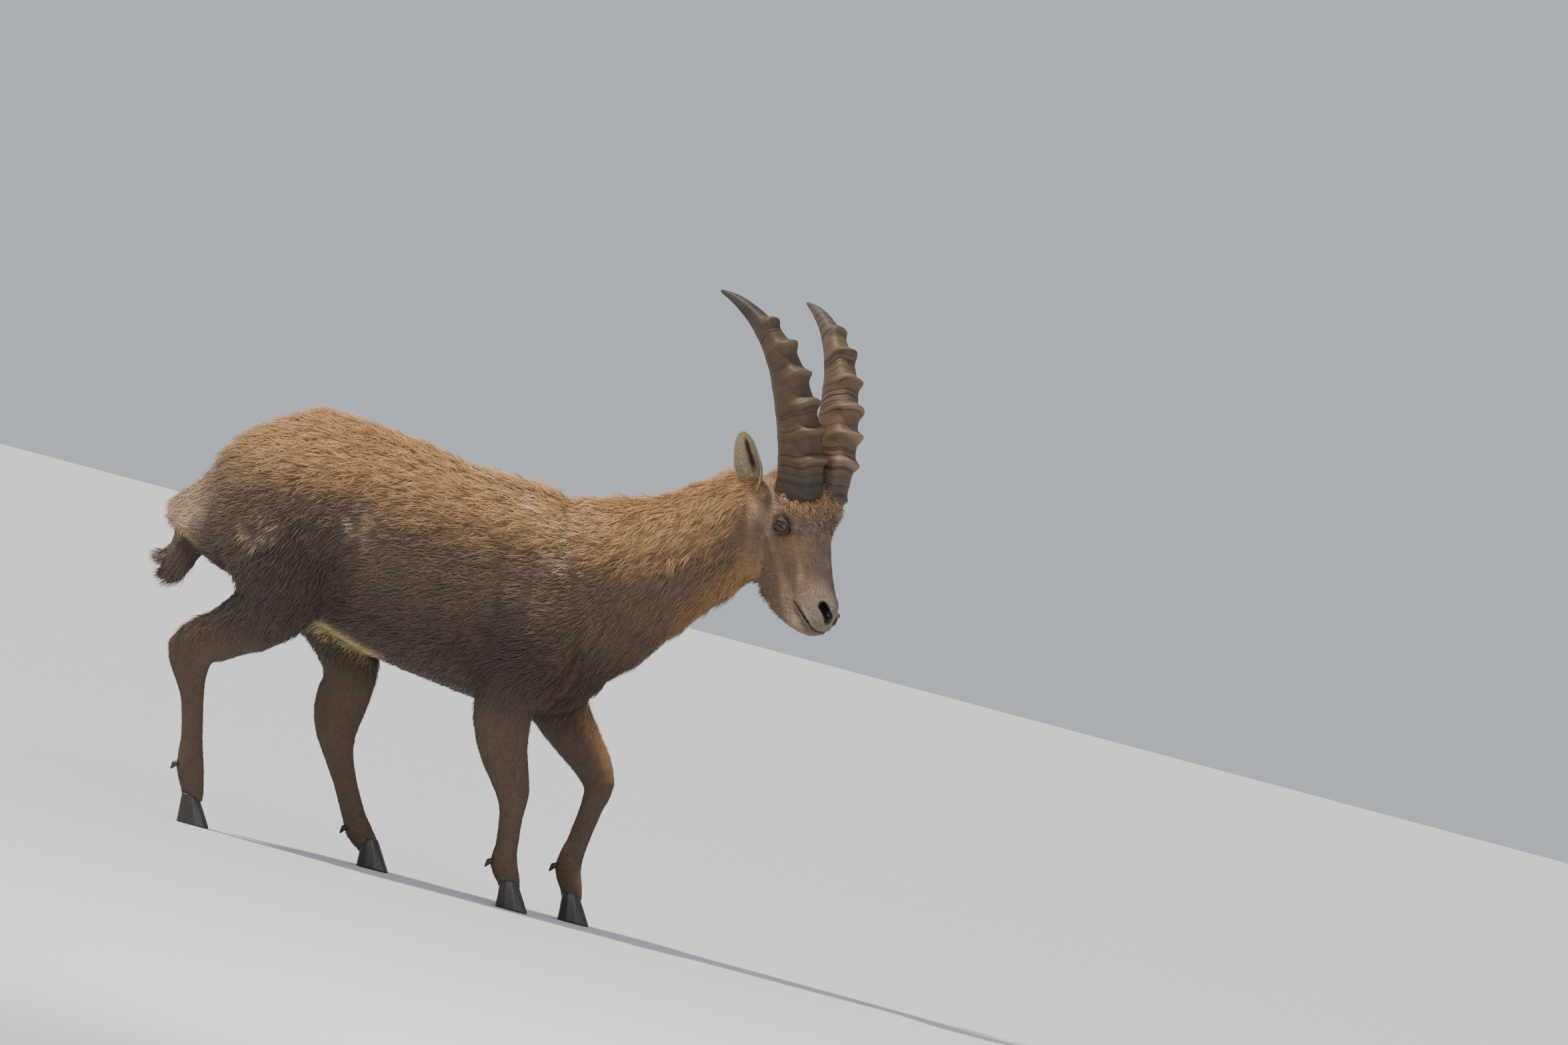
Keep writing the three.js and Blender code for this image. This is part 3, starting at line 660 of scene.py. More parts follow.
width = BODY_TUFT_WIDE * (1 - head_weight) + FACE_TUFT_WIDE * head_weight
width *= 1 - 0.35 * leg_weight
width *= 1 - 0.3 * on_neck

# How many tufts grow on a square metre
BODY_TUFTS = 64000
OVER_SHARE = 1.3
TAIL_TUFTS = 260000
LEG_TUFTS = 130000
FACE_TUFTS_MORE = 210000
BROW_TUFTS = 260000
EAR_TUFTS = 260000.0
WHISKERS = 5000
bare = (eye_gap < 5.9) | (curve_gap(mirrored(p_head), NOSTRIL) < 2.6) | (z < 2.5)
fine = np.clip(head_weight * 1.4 + smoothstep(50, 42, z) * (1 - tail), 0, 1)
body_density = np.where(bare, 0, BODY_TUFTS * (1 + 0.6 * on_neck) * (1 - fine) * (1 - tail))
over_density = body_density * OVER_SHARE
fine_density = np.where(bare, 0, fine * (LEG_TUFTS + FACE_TUFTS_MORE * head_weight))
chin = head_weight * smoothstep(40, 46, p_head[:, 0]) * smoothstep(-16, -20, p_head[:, 2])

# The curls of the forehead lie forward and down the face, each its own way
up_on_head = (skin_normal @ HEAD_AXES)[:, 2]
brow = head_weight * smoothstep(12, 3, p_head[:, 0]) * smoothstep(-0.1, 0.35, up_on_head)
brow = brow * smoothstep(-2, 4, p_head[:, 2])
brow *= smoothstep(8, 12, eye_gap)
brow_density = np.where(bare, 0, BROW_TUFTS * brow)
brow_lie = along_skin(head_way(0.7, 0, 0.2) + 0.8 * noise_ways(shape.points, 0.03, (51, 52, 53)))


def triangles_of(mesh):
    """The corners of a mesh's triangles, as points and as loops."""
    mesh.calc_loop_triangles()
    parts = mesh.loop_triangles
    return read(parts, "vertices", kind=int), read(parts, "loops", kind=int)


def spread_on(values, corners, tri, share):
    """Values at points of a mesh, read at places inside its triangles."""
    picked = values[corners[tri]]
    if picked.ndim == 2:
        return (picked * share).sum(1)
    return (picked * share[:, :, None]).sum(1)


def scatter(points, corners, wanted):
    """Random roots on a mesh, wanted[i] of them per square metre on triangle i."""
    a, b, c = (points[corners[:, k]] for k in range(3))
    expected = np.linalg.norm(np.cross(b - a, c - a), axis=1) / 2 * wanted
    number = np.floor(expected + rng.random(len(expected))).astype(int)
    tri = np.repeat(np.arange(len(expected)), number)
    share = rng.random((len(tri), 2))
    flip = share.sum(1) > 1
    share[flip] = 1 - share[flip]
    return tri, np.column_stack([1 - share.sum(1), share])


# A tuft's patch on the unwrap, the margin kept at its edges, and how deep and far back roots start
TUFTS_PER_PIECE = 18000
PATCH = 0.003
EDGE = 0.0005
ROOT_DEPTH = 0.0012
ROOT_BACK = 0.001
# A bent tuft has two rings of three points and a tip, a straight one has one ring and a tip. Their tones
# darken each root as painted shade deep in the coat, and lighten each tip, partly the tips' own bleached
# colour and partly painted sunlight.
BENT = {
    "faces": [
        [0, 1, 2], [0, 3, 4], [0, 4, 1], [1, 4, 5], [1, 5, 2],
        [2, 5, 3], [2, 3, 0], [3, 6, 4], [4, 6, 5], [5, 6, 3],
    ],
    "tones": [-1.5, -1.5, -1.5, 0.0, 0.0, 0.1, 1.0],
    "patch": [[0, 0], [1, 0], [0.5, 0.3], [0, 0.6], [1, 0.6], [0.5, 0.8], [0.5, 1]],
}
STRAIGHT = {
    "faces": [[0, 1, 2], [0, 3, 1], [1, 3, 2], [2, 3, 0]],
    "tones": [-1.1, -1.1, -1.0, 1.0],
    "patch": [[0, 0], [1, 0], [0.5, 0.3], [0.5, 1]],
}
coat_look = coat_material("coat", 0.62, sheen=0.15)


def tuft_points(root, out, along, long, wide, lift, sag, pull, bent):
    """The points of every tuft: rings of three from its root on, then its tip."""
    across = unit(np.cross(out, along))
    rise = np.tan(lift)[:, None]
    long = long[:, None]
    middle = root + (along + out * rise) * long * 0.5
    tip = root + (along * 0.98 + out * rise * 0.62) * long + across * sag[:, None] * long + pull
    start = root - out * ROOT_DEPTH - along * ROOT_BACK
    thick = wide * 0.34
    rings = []
    for centre, scale in ((start, 0.8), (middle, 1.0)) if bent else ((start, 1.0),):
        left = centre - across * (wide * scale / 2)[:, None]
        right = centre + across * (wide * scale / 2)[:, None]
        top = centre + out * (thick * scale)[:, None]
        rings += [left, right, top]
    return np.stack(rings + [tip], 1)


def build_tufts(name, points, tint, tone, root_uv, kind):
    """Puts the tufts into pieces of a bounded size, each tuft a small patch at its root's place."""
    corners = points.shape[1]
    pattern = np.array(kind["faces"])
    tones = np.array(kind["tones"])
    uv_patch = np.array(kind["patch"]) * PATCH - PATCH / 2
    for piece, first in enumerate(range(0, len(points), TUFTS_PER_PIECE)):
        part = slice(first, first + TUFTS_PER_PIECE)
        count = len(points[part])
        mesh = bpy.data.meshes.new(f"{name}_{piece}")
        faces = (pattern[None] + corners * np.arange(count)[:, None, None]).reshape(-1, 3)
        mesh.vertices.add(count * corners)
        mesh.vertices.foreach_set("co", points[part].reshape(-1))
        mesh.loops.add(faces.size)
        mesh.loops.foreach_set("vertex_index", faces.ravel().astype(np.int32))
        mesh.polygons.add(len(faces))
        mesh.polygons.foreach_set("loop_start", np.arange(0, faces.size, 3, dtype=np.int32))
        make_smooth(mesh)
        mesh.update(calc_edges=True)
        layer = mesh.uv_layers.new(name="OFBake")
        patch = np.clip(root_uv[part][:, None] + uv_patch[None], EDGE, 1 - EDGE).reshape(-1, 2)
        layer.data.foreach_set("uv", patch[faces.ravel()].ravel())
        # Roots darker as painted shade inside the coat; tips lighter, partly bleached hair and partly
        # painted sunlight
        colours = tint[part][:, None, :] * (1 + tone[part][:, None, None] * tones[None, :, None])
        paint(mesh, colours.reshape(-1, 3))
        mesh.materials.append(coat_look)
        tufts = linked(f"{name}_{piece}", mesh)
        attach(tufts, "root")


def clump_of(roots, size):
    """Puts roots into uneven clumps about size across: the clump's number for each root, and the count."""
    warped = roots + size * 0.45 * noise_ways(roots, size * 5, (31, 32, 33))
    cell = np.floor(warped / size).astype(int)
    _, number = np.unique(cell, axis=0, return_inverse=True)
    number = number.ravel()
    return number, number.max() + 1


# How much tufts differ from each other, as least and most, or as a spread about none
LENGTHS = (0.7, 1.25)
WIDTHS = (0.75, 1.3)
TINTS = (0.82, 1.18)
SAG = 0.1
# How much whole clumps differ, and how far a clump's tips draw together
CLUMP_TURN = 0.22
CLUMP_LIFTS = (-3, 12)
CLUMP_LENGTHS = (-0.2, 0.3)
CLUMP_TINTS = (-0.16, 0.18)
CLUMP_PULL = 0.42


def grow_coat(name, mesh, points, normals, flow, long, wide, density, colour, **style):
    """Grows tufts on a mesh. style: clump size, loose, tone (painted shade at the root and a lighter tip),
    bent, lifts in degrees and curl.
    """
    clump = style.get("clump")
    bent = style.get("bent", True)
    curl = style.get("curl", 0.12)
    corners, loops = triangles_of(mesh)
    uv = read(mesh.uv_layers["OFBake"].data, "uv", 2)
    tri, share = scatter(points, corners, density[corners].mean(1))

    def at(values):
        return spread_on(values, corners, tri, share)

    root, out, along = at(points), unit(at(normals)), at(flow)
    n = len(root)
    sway = noise(root, 0.06, 11) * min(1.8 * curl, 0.22) + noise(root, 0.02, 12) * 1.4 * curl
    sway = sway + rng.normal(0, curl, n)
    lift = rng.uniform(*style.get("lifts", (8, 22)), n)
    reach = at(long) * rng.uniform(*LENGTHS, n)
    tint = at(colour) * rng.uniform(*TINTS, n)[:, None]
    pull = np.zeros((n, 3))
    if clump:
        number, count = clump_of(root, clump)
        loose = at(style["loose"])
        sway += rng.normal(0, CLUMP_TURN, count)[number] * loose
        lift += rng.uniform(*CLUMP_LIFTS, count)[number] * loose
        reach *= 1 + rng.uniform(*CLUMP_LENGTHS, count)[number] * loose
        tint *= (1 + rng.uniform(*CLUMP_TINTS, count)[number] * loose)[:, None]
        size = np.bincount(number, minlength=count)
        middle = np.column_stack([np.bincount(number, root[:, k], count) / size for k in range(3)])
        pull = (middle[number] - root) * (CLUMP_PULL * loose)[:, None]
    along = unit(along - (along * out).sum(1, keepdims=True) * out)
    along = unit(along * np.cos(sway)[:, None] + np.cross(out, along) * np.sin(sway)[:, None])
    root_uv = (uv[loops[tri]] * share[:, :, None]).sum(1)
    tone = at(style["tone"]) if "tone" in style else np.full(n, 0.22)
    width_here = at(wide) * rng.uniform(*WIDTHS, n)
    sag = rng.normal(0, SAG, n)
    points_here = tuft_points(root, out, along, reach, width_here, np.radians(lift), sag, pull, bent)
    build_tufts(name, points_here, tint, tone, root_uv, BENT if bent else STRAIGHT)


def all_over(value):
    return np.full(len(x), value)


back = smoothstep(76, 92, z) * (1 - head_weight)
loose = np.clip(0.4 + 0.6 * back, 0, 1) * (1 - 0.7 * leg_weight) * (1 - 0.8 * head_weight)
on_skin = (skin_mesh, shape.points, skin_normal, lie)
on_brow = (skin_mesh, shape.points, skin_normal, brow_lie)
STRAIGHT_STYLE = {"bent": False, "lifts": (7, 20), "tone": all_over(0.26)}
BODY_STYLE = {"clump": 0.012, "loose": loose, "tone": 0.2 + 0.06 * back}
SHORT_STYLE = {"clump": 0.007, "loose": 0.35 + 0.35 * head_weight, **STRAIGHT_STYLE}
OVER_STYLE = {"clump": 0.02, "loose": loose, **STRAIGHT_STYLE}
TAIL_STYLE = {"lifts": (4, 14), "curl": 0.04}
WHISKER_STYLE = {"bent": False, "lifts": (35, 70), "curl": 0.5}
BROW_STYLE = {"clump": 0.008, "loose": all_over(1.0), "lifts": (10, 30), "curl": 0.3}
tail_length = TAIL_HAIR - TAIL_END_LESS * smoothstep(-51, -55, x)
tail_width = all_over(TAIL_TUFT_WIDE)
tail_density = TAIL_TUFTS * tail
whisker_size = (all_over(WHISKER_LONG), all_over(WHISKER_WIDE))
whisker_colour = skin_colour * 0.25
brow_size = (BROW_HAIR * brow + BROW_HAIR_LEAST, all_over(BROW_TUFT_WIDE))
for name, surface, size, density, colour, style in (
    ("coat", on_skin, (length, width), body_density, skin_colour, BODY_STYLE),
    ("short_coat", on_skin, (length, width), fine_density, skin_colour, SHORT_STYLE),
    ("over_coat", on_skin, (length * 1.08, width * 0.68), over_density, skin_colour, OVER_STYLE),
    ("tail_coat", on_skin, (tail_length, tail_width), tail_density, skin_colour, TAIL_STYLE),
    ("whiskers", on_skin, whisker_size, WHISKERS * chin, whisker_colour, WHISKER_STYLE),
    ("brow_coat", on_brow, brow_size, brow_density, skin_colour, BROW_STYLE),
):
    grow_coat(name, *surface, *size, density, colour, **style)

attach(skin, "root")
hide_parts(*FLESH)

# Horns: the same sweep as the solids, with fine growth rings
# Each row: a place on the head, then the half sizes to the front, to the back and sideways
HORN_PATH = np.array(
    [
        [-14, 8.6, 8.5, 15.4, 14, 10],
        [-19.3, 9.4, 15, 15.4, 14, 10],
        [-31, 11.6, 24.4, 14.8, 13.4, 9.8],
        [-45, 14.2, 32.2, 13.6, 12.2, 9.4],
        [-60, 17.2, 38.4, 12.2, 10.6, 8.6],
        [-76, 20.2, 42.6, 10.6, 8.4, 7.4],
        [-92, 23.2, 43, 8.6, 6, 6],
        [-107.4, 26.2, 40.4, 6.2, 4, 4.6],
        [-121, 29, 35.4, 4, 2.6, 3.1],
        [-131.6, 31.2, 29.4, 1.4, 1.2, 1.2],
    ]
)
KNOBS = [0.075, 0.205, 0.298, 0.394, 0.496, 0.6, 0.71]
KNOB_HEIGHTS = [2.2, 4.9, 5.4, 5.4, 5.2, 4.8, 3.6]
KNOB_WIDTH = 0.0175
GROWTH_LINES = 46
LINE_WIDTH = 0.0022
HORN_SEED = 60
HORN_RINGS = 400
HORN_AROUND = 64
HORN_TONES = {
    "low": linear(0.25, 0.225, 0.205),
    "mid": linear(0.34, 0.27, 0.205),
    "high": linear(0.29, 0.25, 0.225),
    # painted shade for the bottoms of the growth grooves
    "groove": linear(0.12, 0.095, 0.08),
    "worn": linear(0.52, 0.43, 0.34),
}


def curve_at(rows, t):
    """A smooth curve through rows, at places t from 0 to 1."""
    last = len(rows) - 1
    spot = np.clip(t, 0, 1) * last
    i = np.minimum(spot.astype(int), last - 1)
    f = (spot - i)[:, None]
    p0, p1, p2, p3 = (rows[np.clip(i + k, 0, last)] for k in (-1, 0, 1, 2))
    square = (2 * p0 - 5 * p1 + 4 * p2 - p3) * f**2
    cube = (3 * p1 - p0 - 3 * p2 + p3) * f**3
    return 0.5 * (2 * p1 + (p2 - p0) * f + square + cube)


def ring_faces(rings, around, steps):
    """Squares between rings of points; as many steps as rings join the last ring to the first."""
    faces = []
    for i in range(steps):
        for j in range(around):
            i2, j2 = (i + 1) % rings, (j + 1) % around
            faces.append((i * around + j, i * around + j2, i2 * around + j2, i2 * around + j))
    return faces


def grid_mesh(name, grid):
    """A closed tube from rings of points, grid[ring][around], with a point on each end."""
    rings, around = grid.shape[:2]
    vertices = np.vstack([grid.reshape(-1, 3), grid[0].mean(0), grid[-1].mean(0)])
    faces = ring_faces(rings, around, rings - 1)
    for j in range(around):
        k = (j + 1) % around
        faces.append((rings * around, k, j))
        faces.append((rings * around + 1, (rings - 1) * around + j, (rings - 1) * around + k))
    mesh = bpy.data.meshes.new(name)
    mesh.from_pydata(vertices.tolist(), [], faces)
    make_smooth(mesh)
    return mesh


def out_facing(mesh):
    work = bmesh.new()
    work.from_mesh(mesh)
    bmesh.ops.recalc_face_normals(work, faces=work.faces)
    work.to_mesh(mesh)
    work.free()


def added(name, mesh, nodes=()):
    obj = linked(name, mesh)
    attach(obj, "root")
    if nodes:
        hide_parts(*nodes)
    return obj


def horn_tone(t, knob, groove, is_front):
    """Colours round one ring: grey at the root, brown above it, worn pale on the knobs, and painted shade
    in the growth grooves.
    """
    low_to_mid = smoothstep(0.05, 0.24, t)
    mid_to_high = smoothstep(0.62, 0.86, t)
    base = HORN_TONES["low"] * (1 - low_to_mid) + HORN_TONES["mid"] * low_to_mid
    base = base * (1 - mid_to_high) + HORN_TONES["high"] * mid_to_high
    worn = np.clip(knob / 4.5, 0, 1) ** 2 * is_front * low_to_mid
    shade = mix(np.tile(base, (len(knob), 1)), HORN_TONES["worn"], worn * 0.4)
    # Painted shade darkens the growth grooves by their depth
    return mix(shade, HORN_TONES["groove"], np.clip(groove * 2.4, 0, 0.6))


def build_horn(name, hand):
    rings, around = HORN_RINGS, HORN_AROUND
    t = np.linspace(0, 1, rings)
    rows = curve_at(HORN_PATH, t)
    centre = rows[:, :3] * [1, hand, 1]
    ahead = unit(np.gradient(centre, axis=0))
    lateral = np.array([0, -1.0, 0])
    across = unit(lateral - (ahead @ lateral)[:, None] * ahead)
    front = np.cross(ahead, across)
    draw = np.random.default_rng(HORN_SEED + hand)
    lines = np.sort(draw.uniform(0.03, 0.84, GROWTH_LINES))
    deep = draw.uniform(0.05, 0.3, GROWTH_LINES)
    depth = 1.25 + 0.45 * hand
    angle = 2 * np.pi * np.arange(around) / around
    sin, cos = np.sin(angle), np.cos(angle)
    is_front = np.maximum(sin, 0) ** 1.8
    power = np.where(sin >= 0, 2 / 2.6, 1)
    grid = np.empty((rings, around, 3))
    shade = np.empty((rings, around, 3))
    for i in range(rings):
        ahead_size, back_size, wide = rows[i, 3:]
        warp = 0.004 * np.sin(2 * angle + 5 * t[i]) + 0.003 * np.sin(5 * angle + 23 * t[i])
        there = t[i] + warp
        knobs = zip(KNOBS, KNOB_HEIGHTS)
        knob = sum(high * np.exp(-(np.abs((there - at) / KNOB_WIDTH) ** 1.9)) for at, high in knobs)
        cuts = zip(lines, deep)
        groove = depth * sum(d * np.exp(-(((there - line) / LINE_WIDTH) ** 2)) for line, d in cuts)
        extra = knob * (0.05 + 0.95 * is_front) - 0.6 * is_front - groove * (1 - 0.6 * is_front)
        a = np.sign(cos) * np.abs(cos) ** power * (wide + extra * 0.6)
        u = np.sign(sin) * np.abs(sin) ** power * (np.where(sin >= 0, ahead_size, back_size) + extra)
        grid[i] = centre[i] + a[:, None] * across[i] + u[:, None] * front[i]
        shade[i] = horn_tone(t[i], knob, groove, is_front)
    head_places = grid.reshape(-1, 3)
    past_middle = head_places[:, 1] * hand < 0.5
    head_places[past_middle, 1] = 0.5 * hand
    places = from_head(head_places)
    mottle = 1 + 0.2 * noise(places, 0.05, 21) + 0.12 * noise(places, 0.012, 22)
    # The far (left) horn is painted lighter, as painted sunlight, and the near (right) horn darker, as
    # painted shade
    shade = shade.reshape(-1, 3) * (0.98 + 0.2 * hand) * mottle[:, None]
    mesh = grid_mesh(name, places.reshape(rings, around, 3))
    out_facing(mesh)
    paint(mesh, np.vstack([shade, shade[:1], shade[-1:]]))
    mesh.materials.append(horn_look)
    added(f"sheath_{name}", mesh, [f"horn_{name}"])


horn_look = coat_material("horn", 0.52, bump=0.35)
for name, hand in SIDES:
    build_horn(name, hand)


# Eyes: a dark brown ball with a level slot pupil; half sizes in metres
PUPIL_HALF = (0.0078, 0.0026)
IRIS_HALF = (0.0145, 0.0125)
PUPIL_TONE = (0.006, 0.005, 0.005, 1)
IRIS_TONE = (*linear(0.27, 0.21, 0.18), 1)
EDGE_TONE = (*linear(0.1, 0.085, 0.08), 1)
LID_THICK = 0.62
LID_RINGS = 72
LID_AROUND = 12


def eye_material(name, centre, along, above):
    material = bpy.data.materials.new(name)
    material.use_nodes = True
    tree = material.node_tree
    shader = tree.nodes["Principled BSDF"]
    where = tree.nodes.new("ShaderNodeNewGeometry")
    offset = tree.nodes.new("ShaderNodeVectorMath")
    offset.operation = "SUBTRACT"
    offset.inputs[1].default_value = centre
    tree.links.new(where.outputs["Position"], offset.inputs[0])

    def squared_part(way, size):
        """The square of how far a place is along a way, where size is 1."""
        dot = tree.nodes.new("ShaderNodeVectorMath")
        dot.operation = "DOT_PRODUCT"
        dot.inputs[1].default_value = tuple(np.asarray(way) / size)
        tree.links.new(offset.outputs[0], dot.inputs[0])
        square = tree.nodes.new("ShaderNodeMath")
        square.operation = "MULTIPLY"
        tree.links.new(dot.outputs["Value"], square.inputs[0])
        tree.links.new(dot.outputs["Value"], square.inputs[1])
        return square.outputs[0]

    def oval(half_long, half_high):
        total = tree.nodes.new("ShaderNodeMath")
        total.operation = "ADD"
        tree.links.new(squared_part(along, half_long), total.inputs[0])
        tree.links.new(squared_part(above, half_high), total.inputs[1])
        return total.outputs[0]

    def blend_in(low, high, value, before, after):
        spread = tree.nodes.new("ShaderNodeMapRange")
        spread.inputs["From Min"].default_value = low
        spread.inputs["From Max"].default_value = high
        tree.links.new(value, spread.inputs["Value"])
        mixer = tree.nodes.new("ShaderNodeMix")
        mixer.data_type = "RGBA"
        tree.links.new(spread.outputs["Result"], mixer.inputs["Factor"])
        for socket, colour in (("A", before), ("B", after)):
            plug = [s for s in mixer.inputs if s.name == socket and s.type == "RGBA"][0]
            if isinstance(colour, tuple):
                plug.default_value = colour
            else:
                tree.links.new(colour, plug)
        return [s for s in mixer.outputs if s.type == "RGBA"][0]

    coloured = blend_in(0.85, 1.15, oval(*PUPIL_HALF), PUPIL_TONE, IRIS_TONE)
    coloured = blend_in(0.8, 1.1, oval(*IRIS_HALF), coloured, EDGE_TONE)
    tree.links.new(coloured, shader.inputs["Base Color"])
    shader.inputs["Roughness"].default_value = 0.06
    shader.inputs["Specular IOR Level"].default_value = 0.35
    return material


def build_lids(name, hand, look, along, above):
    """The dark rims of the lids: an almond-shaped ring that lies on the eyeball."""
    turn = 2 * np.pi * np.arange(LID_RINGS) / LID_RINGS
    a = EYE_HALF * np.cos(turn)
    high = np.where(np.sin(turn) > 0, EYE_TOP, EYE_BOTTOM)
    b = high * np.sign(np.sin(turn)) * np.abs(np.sin(turn)) ** 1.3
    c = np.sqrt(np.maximum((EYE_RADIUS / H * 1.05) ** 2 - a**2 - b**2, 0.3))
    path = a[:, None] * along + b[:, None] * above + c[:, None] * look
    ahead = unit(np.roll(path, -1, 0) - np.roll(path, 1, 0))
    out = unit(path)
    across = np.cross(ahead, out)
    angle = 2 * np.pi * np.arange(LID_AROUND) / LID_AROUND
    sideways = (LID_THICK * np.cos(angle))[None, :, None]
    outward = (0.8 * LID_THICK * np.sin(angle))[None, :, None]
    ring = across[:, None] * sideways + out[:, None] * outward
    grid = path[:, None] + ring + EYE_AT * [1, hand, 1]
    mesh = bpy.data.meshes.new(f"lids_{name}")
    faces = ring_faces(LID_RINGS, LID_AROUND, LID_RINGS)
    mesh.from_pydata(from_head(grid.reshape(-1, 3)).tolist(), [], faces)
    make_smooth(mesh)
    out_facing(mesh)
    mesh.materials.append(lid_look)
    added(f"lids_{name}", mesh)


def build_eyeball(name, hand, along, above):
    middle = from_head([EYE_AT * [1, hand, 1]])[0]
    ball = bmesh.new()
    bmesh.ops.create_uvsphere(ball, u_segments=48, v_segments=32, radius=EYE_RADIUS)
    bmesh.ops.translate(ball, verts=ball.verts, vec=middle)
    mesh = bpy.data.meshes.new(f"ball_{name}")
    ball.to_mesh(mesh)
    ball.free()
    make_smooth(mesh)
    mesh.materials.append(eye_material(f"eye_{name}", tuple(middle), HEAD_AXES @ along, HEAD_AXES @ above))
    added(f"eyeball_{name}", mesh, [f"eye_{name}"])


lid_look = plain_material("lid", (0.07, 0.06, 0.06), 0.5)
for name, hand in SIDES:
    look, along, above = eye_frame(hand)
    build_lids(name, hand, look, along, above)
    build_eyeball(name, hand, along, above)


# Ears: thin cups with pale hair inside and a dark stripe, coated like the rest
EAR_LENGTH = 0.108
EAR_WIDTH = 0.057
EAR_ROOT = (-28.6, 20, -11.6)
EAR_RINGS = 44
EAR_HALF_AROUND = 22
EAR_THICK = 0.0028
EAR_HAIR_INSIDE = 0.013
EAR_HAIR_OUTSIDE = 0.0085
EAR_TUFT_WIDE = 0.0012
EAR_OUTSIDE = linear(0.5, 0.43, 0.35)
EAR_PALE = linear(0.6, 0.53, 0.43)
EAR_STRIPE = linear(0.2, 0.15, 0.12)
# Each row: the place along the ear, the width there, and how deep the cup is rolled
EAR_ROWS = np.array(
    [
        [-0.12, 0.34, 1.0],
        [0.05, 0.56, 1.05],
        [0.2, 0.84, 0.95],
        [0.4, 1.0, 0.75],
        [0.6, 0.93, 0.55],
        [0.8, 0.76, 0.38],
        [0.93, 0.48, 0.28],
        [0.99, 0.18, 0.2],
    ]
)


def ear_axes(hand):
    """Along an ear to its tip, the way its opening faces, and across it."""
    way = unit(np.array([[-0.74, hand * 0.3, 0.6]]))[0]
    faces_to = np.array([0.5, hand * 0.84, -0.1])
    faces_to = unit((faces_to - faces_to @ way * way)[None])[0]
    return [HEAD_AXES @ v for v in (way, faces_to, np.cross(way, faces_to))]


def ear_grid(hand):
    """The cup's rings, each with its outside first, and how far out from the middle each point is."""
    way, faces_to, across = ear_axes(hand)
    root = from_head([EAR_ROOT * np.array([1, hand, 1])])[0]
    rings, half = EAR_RINGS, EAR_HALF_AROUND
    angle = np.pi * (np.arange(half) + 0.5) / half
    grid = np.empty((rings, 2 * half, 3))
    for i, (along, spread, roll) in enumerate(curve_at(EAR_ROWS, np.linspace(0, 1, rings))):
        wide = EAR_WIDTH / 2 * spread
        thin = EAR_THICK * (1 - 0.6 * i / rings)
        middle = root + along * EAR_LENGTH * way
        for layer, (start, sign) in enumerate(((0, 1), (half, -1))):
            shrink = 1 - layer * min(thin / wide, 0.5)
            sideways = sign * wide * shrink * np.cos(angle)
            deep = -wide * roll * np.sin(angle) + layer * thin * np.sin(angle)
            grid[i, start : start + half] = middle + sideways[:, None] * across + deep[:, None] * faces_to
    inside = np.tile(np.repeat([0.0, 1.0], half), rings)
    reach = np.tile(np.abs(np.cos(angle)), 2 * rings)
    return grid, inside, reach, way


def ear_colour(t, inside, reach):
    outer = np.tile(EAR_OUTSIDE, (len(t), 1))
    outer = mix(outer, EAR_PALE, smoothstep(0.82, 0.97, reach) * 0.9)
    stripe = (1 - smoothstep(0.12, 0.34, reach)) * smoothstep(0.3, 0.45, t) * smoothstep(0.86, 0.7, t)
    inner = mix(np.tile(EAR_PALE, (len(t), 1)), EAR_STRIPE, stripe)
    colour = np.where(inside[:, None] > 0.5, inner, outer)
    return np.vstack([colour, colour[:1], colour[-1:]])


def build_ear(name, hand):
    grid, inside, reach, way = ear_grid(hand)
    mesh = grid_mesh(f"ear_cup_{name}", grid)
    out_facing(mesh)
    t = np.repeat(np.linspace(0, 1, EAR_RINGS), 2 * EAR_HALF_AROUND)
    colour = ear_colour(t, inside, reach)
    inside = np.append(inside, [0, 0])
    t = np.append(t, [0, 1])
    paint(mesh, colour)
    mesh.materials.append(hide_look)
    cup = added(f"ear_cup_{name}", mesh, [f"ear_{name}"])
    unwrap(cup)
    ear_shape = Shape(mesh)
    out = ear_shape.normals()
    flow = np.tile(way, (len(out), 1)) + 0.25 * out
    long = np.where(inside > 0.5, EAR_HAIR_INSIDE, EAR_HAIR_OUTSIDE) * np.clip(1.15 - t, 0.45, 1)
    wide = np.full(len(t), EAR_TUFT_WIDE)
    density = np.full(len(t), EAR_TUFTS)
    surface = (mesh, ear_shape.points, out, flow)
    grow_coat(f"ear_coat_{name}", *surface, long, wide, density, colour, bent=False)


for name, hand in SIDES:
    build_ear(name, hand)


# Hooves: the claws with their edges rounded, flat on the ground
HOOF_VOXEL = 0.0016
HOOF_ROUNDS = 8
claws = [n for n in NODES if "claw" in n]
hoof_mesh = fused("hooves", *faces_of(claws), HOOF_VOXEL)
hoof_shape = Shape(hoof_mesh)
hoof_shape.smooth(HOOF_ROUNDS)
hoof_shape.points[:, 2] = np.maximum(hoof_shape.points[:, 2], 0)
hoof_shape.write()
make_smooth(hoof_mesh)
hoof_mesh.materials.append(plain_material("hoof", (0.17, 0.145, 0.12), 0.42))
added("hooves", hoof_mesh, claws)

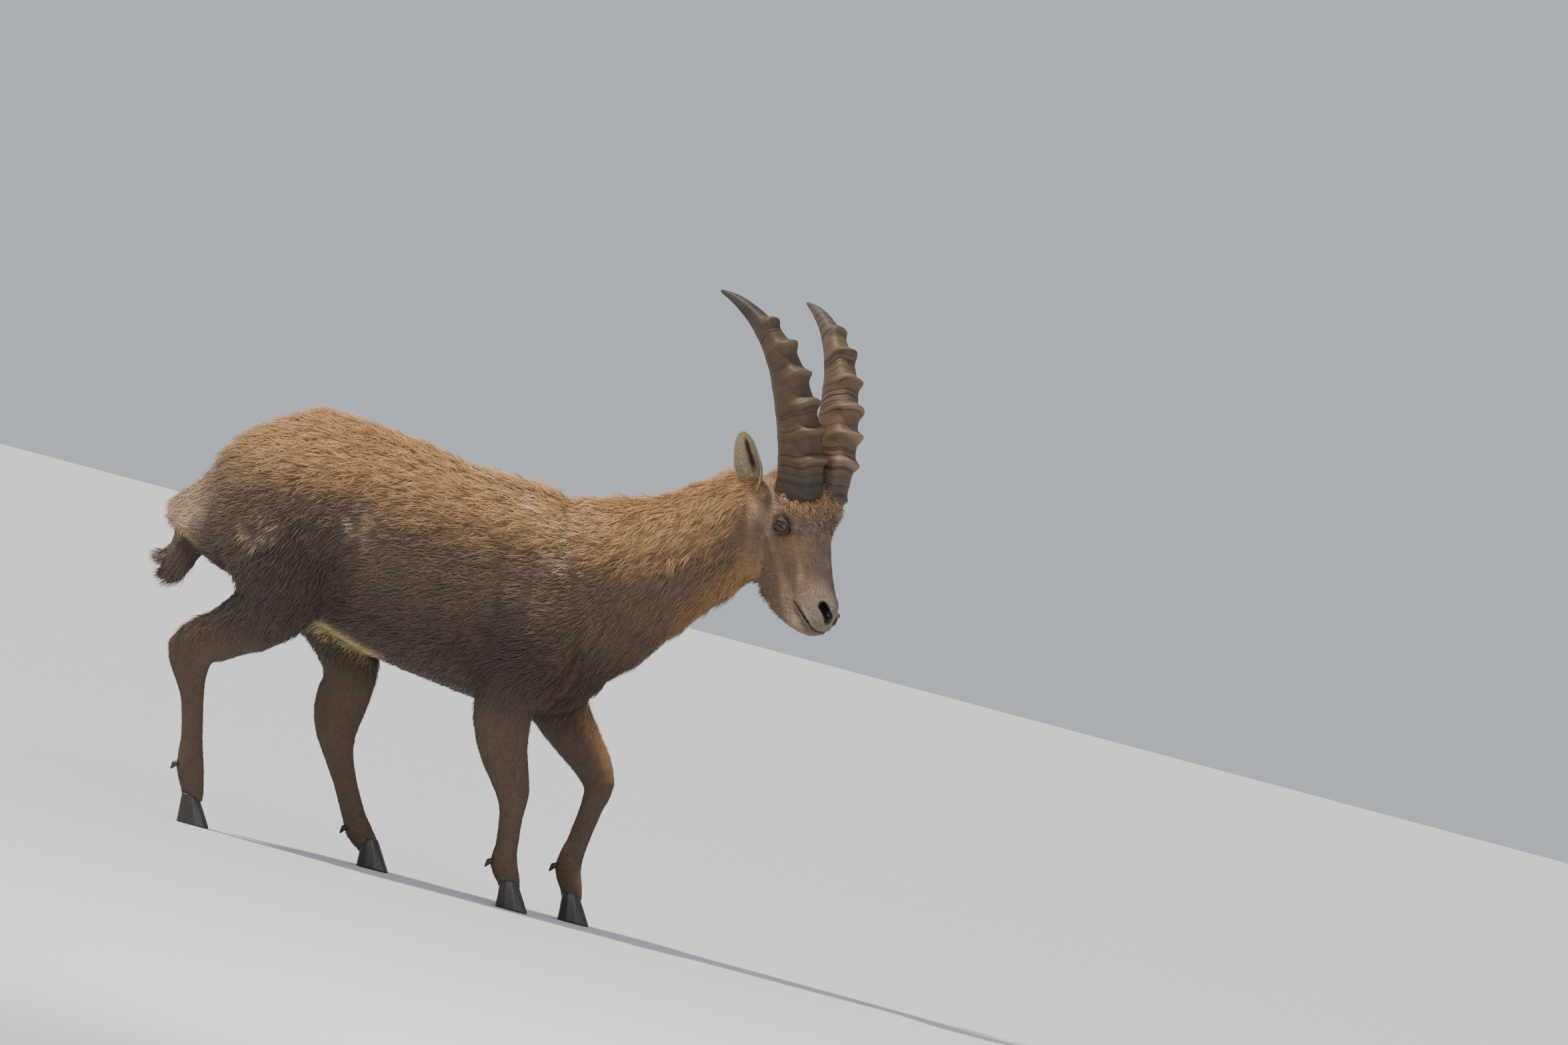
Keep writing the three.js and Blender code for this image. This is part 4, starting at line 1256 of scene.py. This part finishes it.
# Floor, light and camera
FLOOR_HALF = 40
floor_mesh = bpy.data.meshes.new("floor")
corners = [(FLOOR_HALF * a, FLOOR_HALF * b, 0) for a, b in ((-1, -1), (1, -1), (1, 1), (-1, 1))]
floor_mesh.from_pydata(corners, [], [(0, 1, 2, 3)])
floor_mesh.materials.append(plain_material("floor", (0.8, 0.8, 0.8), 0.9))
floor = linked("floor", floor_mesh)


def lamp(name, kind, energy, size, at, towards, colour):
    data = bpy.data.lights.new(name, kind)
    data.energy = energy
    data.color = colour
    if kind == "AREA":
        data.size = size
    else:
        data.angle = size
    obj = linked(name, data)
    obj.location = at
    obj.rotation_euler = (Vector(towards) - Vector(at)).to_track_quat("-Z", "Y").to_euler()


BODY_MIDDLE = (0, 0, 0.6)
SUN_AT = (-2.2, 0.1, 4.2)
SUN_COLOUR = (1.0, 0.95, 0.86)
FILL_AT = (1.5, -4.5, 2.0)
FILL_COLOUR = (0.92, 0.96, 1.0)
lamp("sun", "SUN", 4.8, math.radians(4), SUN_AT, BODY_MIDDLE, SUN_COLOUR)
lamp("fill", "AREA", 95, 3.0, FILL_AT, BODY_MIDDLE, FILL_COLOUR)

world = bpy.data.worlds.new("sky")
bpy.context.scene.world = world
world.use_nodes = True
background = world.node_tree.nodes["Background"]
background.inputs["Color"].default_value = (0.82, 0.88, 1.0, 1)
background.inputs["Strength"].default_value = 0.62

# The camera is far off and square to the animal's side, and its roll is the hill's slope
FRAME_WIDTH = 2.7015
CAMERA_AWAY = 16.0
SENSOR_WIDTH = 36
target = place(85.7, 0, 105.8)
camera_data = bpy.data.cameras.new("camera")
camera = linked("camera", camera_data)
camera_data.sensor_width = SENSOR_WIDTH
camera_data.lens = SENSOR_WIDTH * CAMERA_AWAY / FRAME_WIDTH
camera_data.clip_end = 100
right = Vector((math.cos(SLOPE), 0, math.sin(SLOPE)))
above = Vector((-math.sin(SLOPE), 0, math.cos(SLOPE)))
behind = Vector((0, -1, 0))
pose = Matrix((right, above, behind)).transposed().to_4x4()
pose.translation = Vector(target) + behind * CAMERA_AWAY
camera.matrix_world = pose
bpy.context.scene.camera = camera
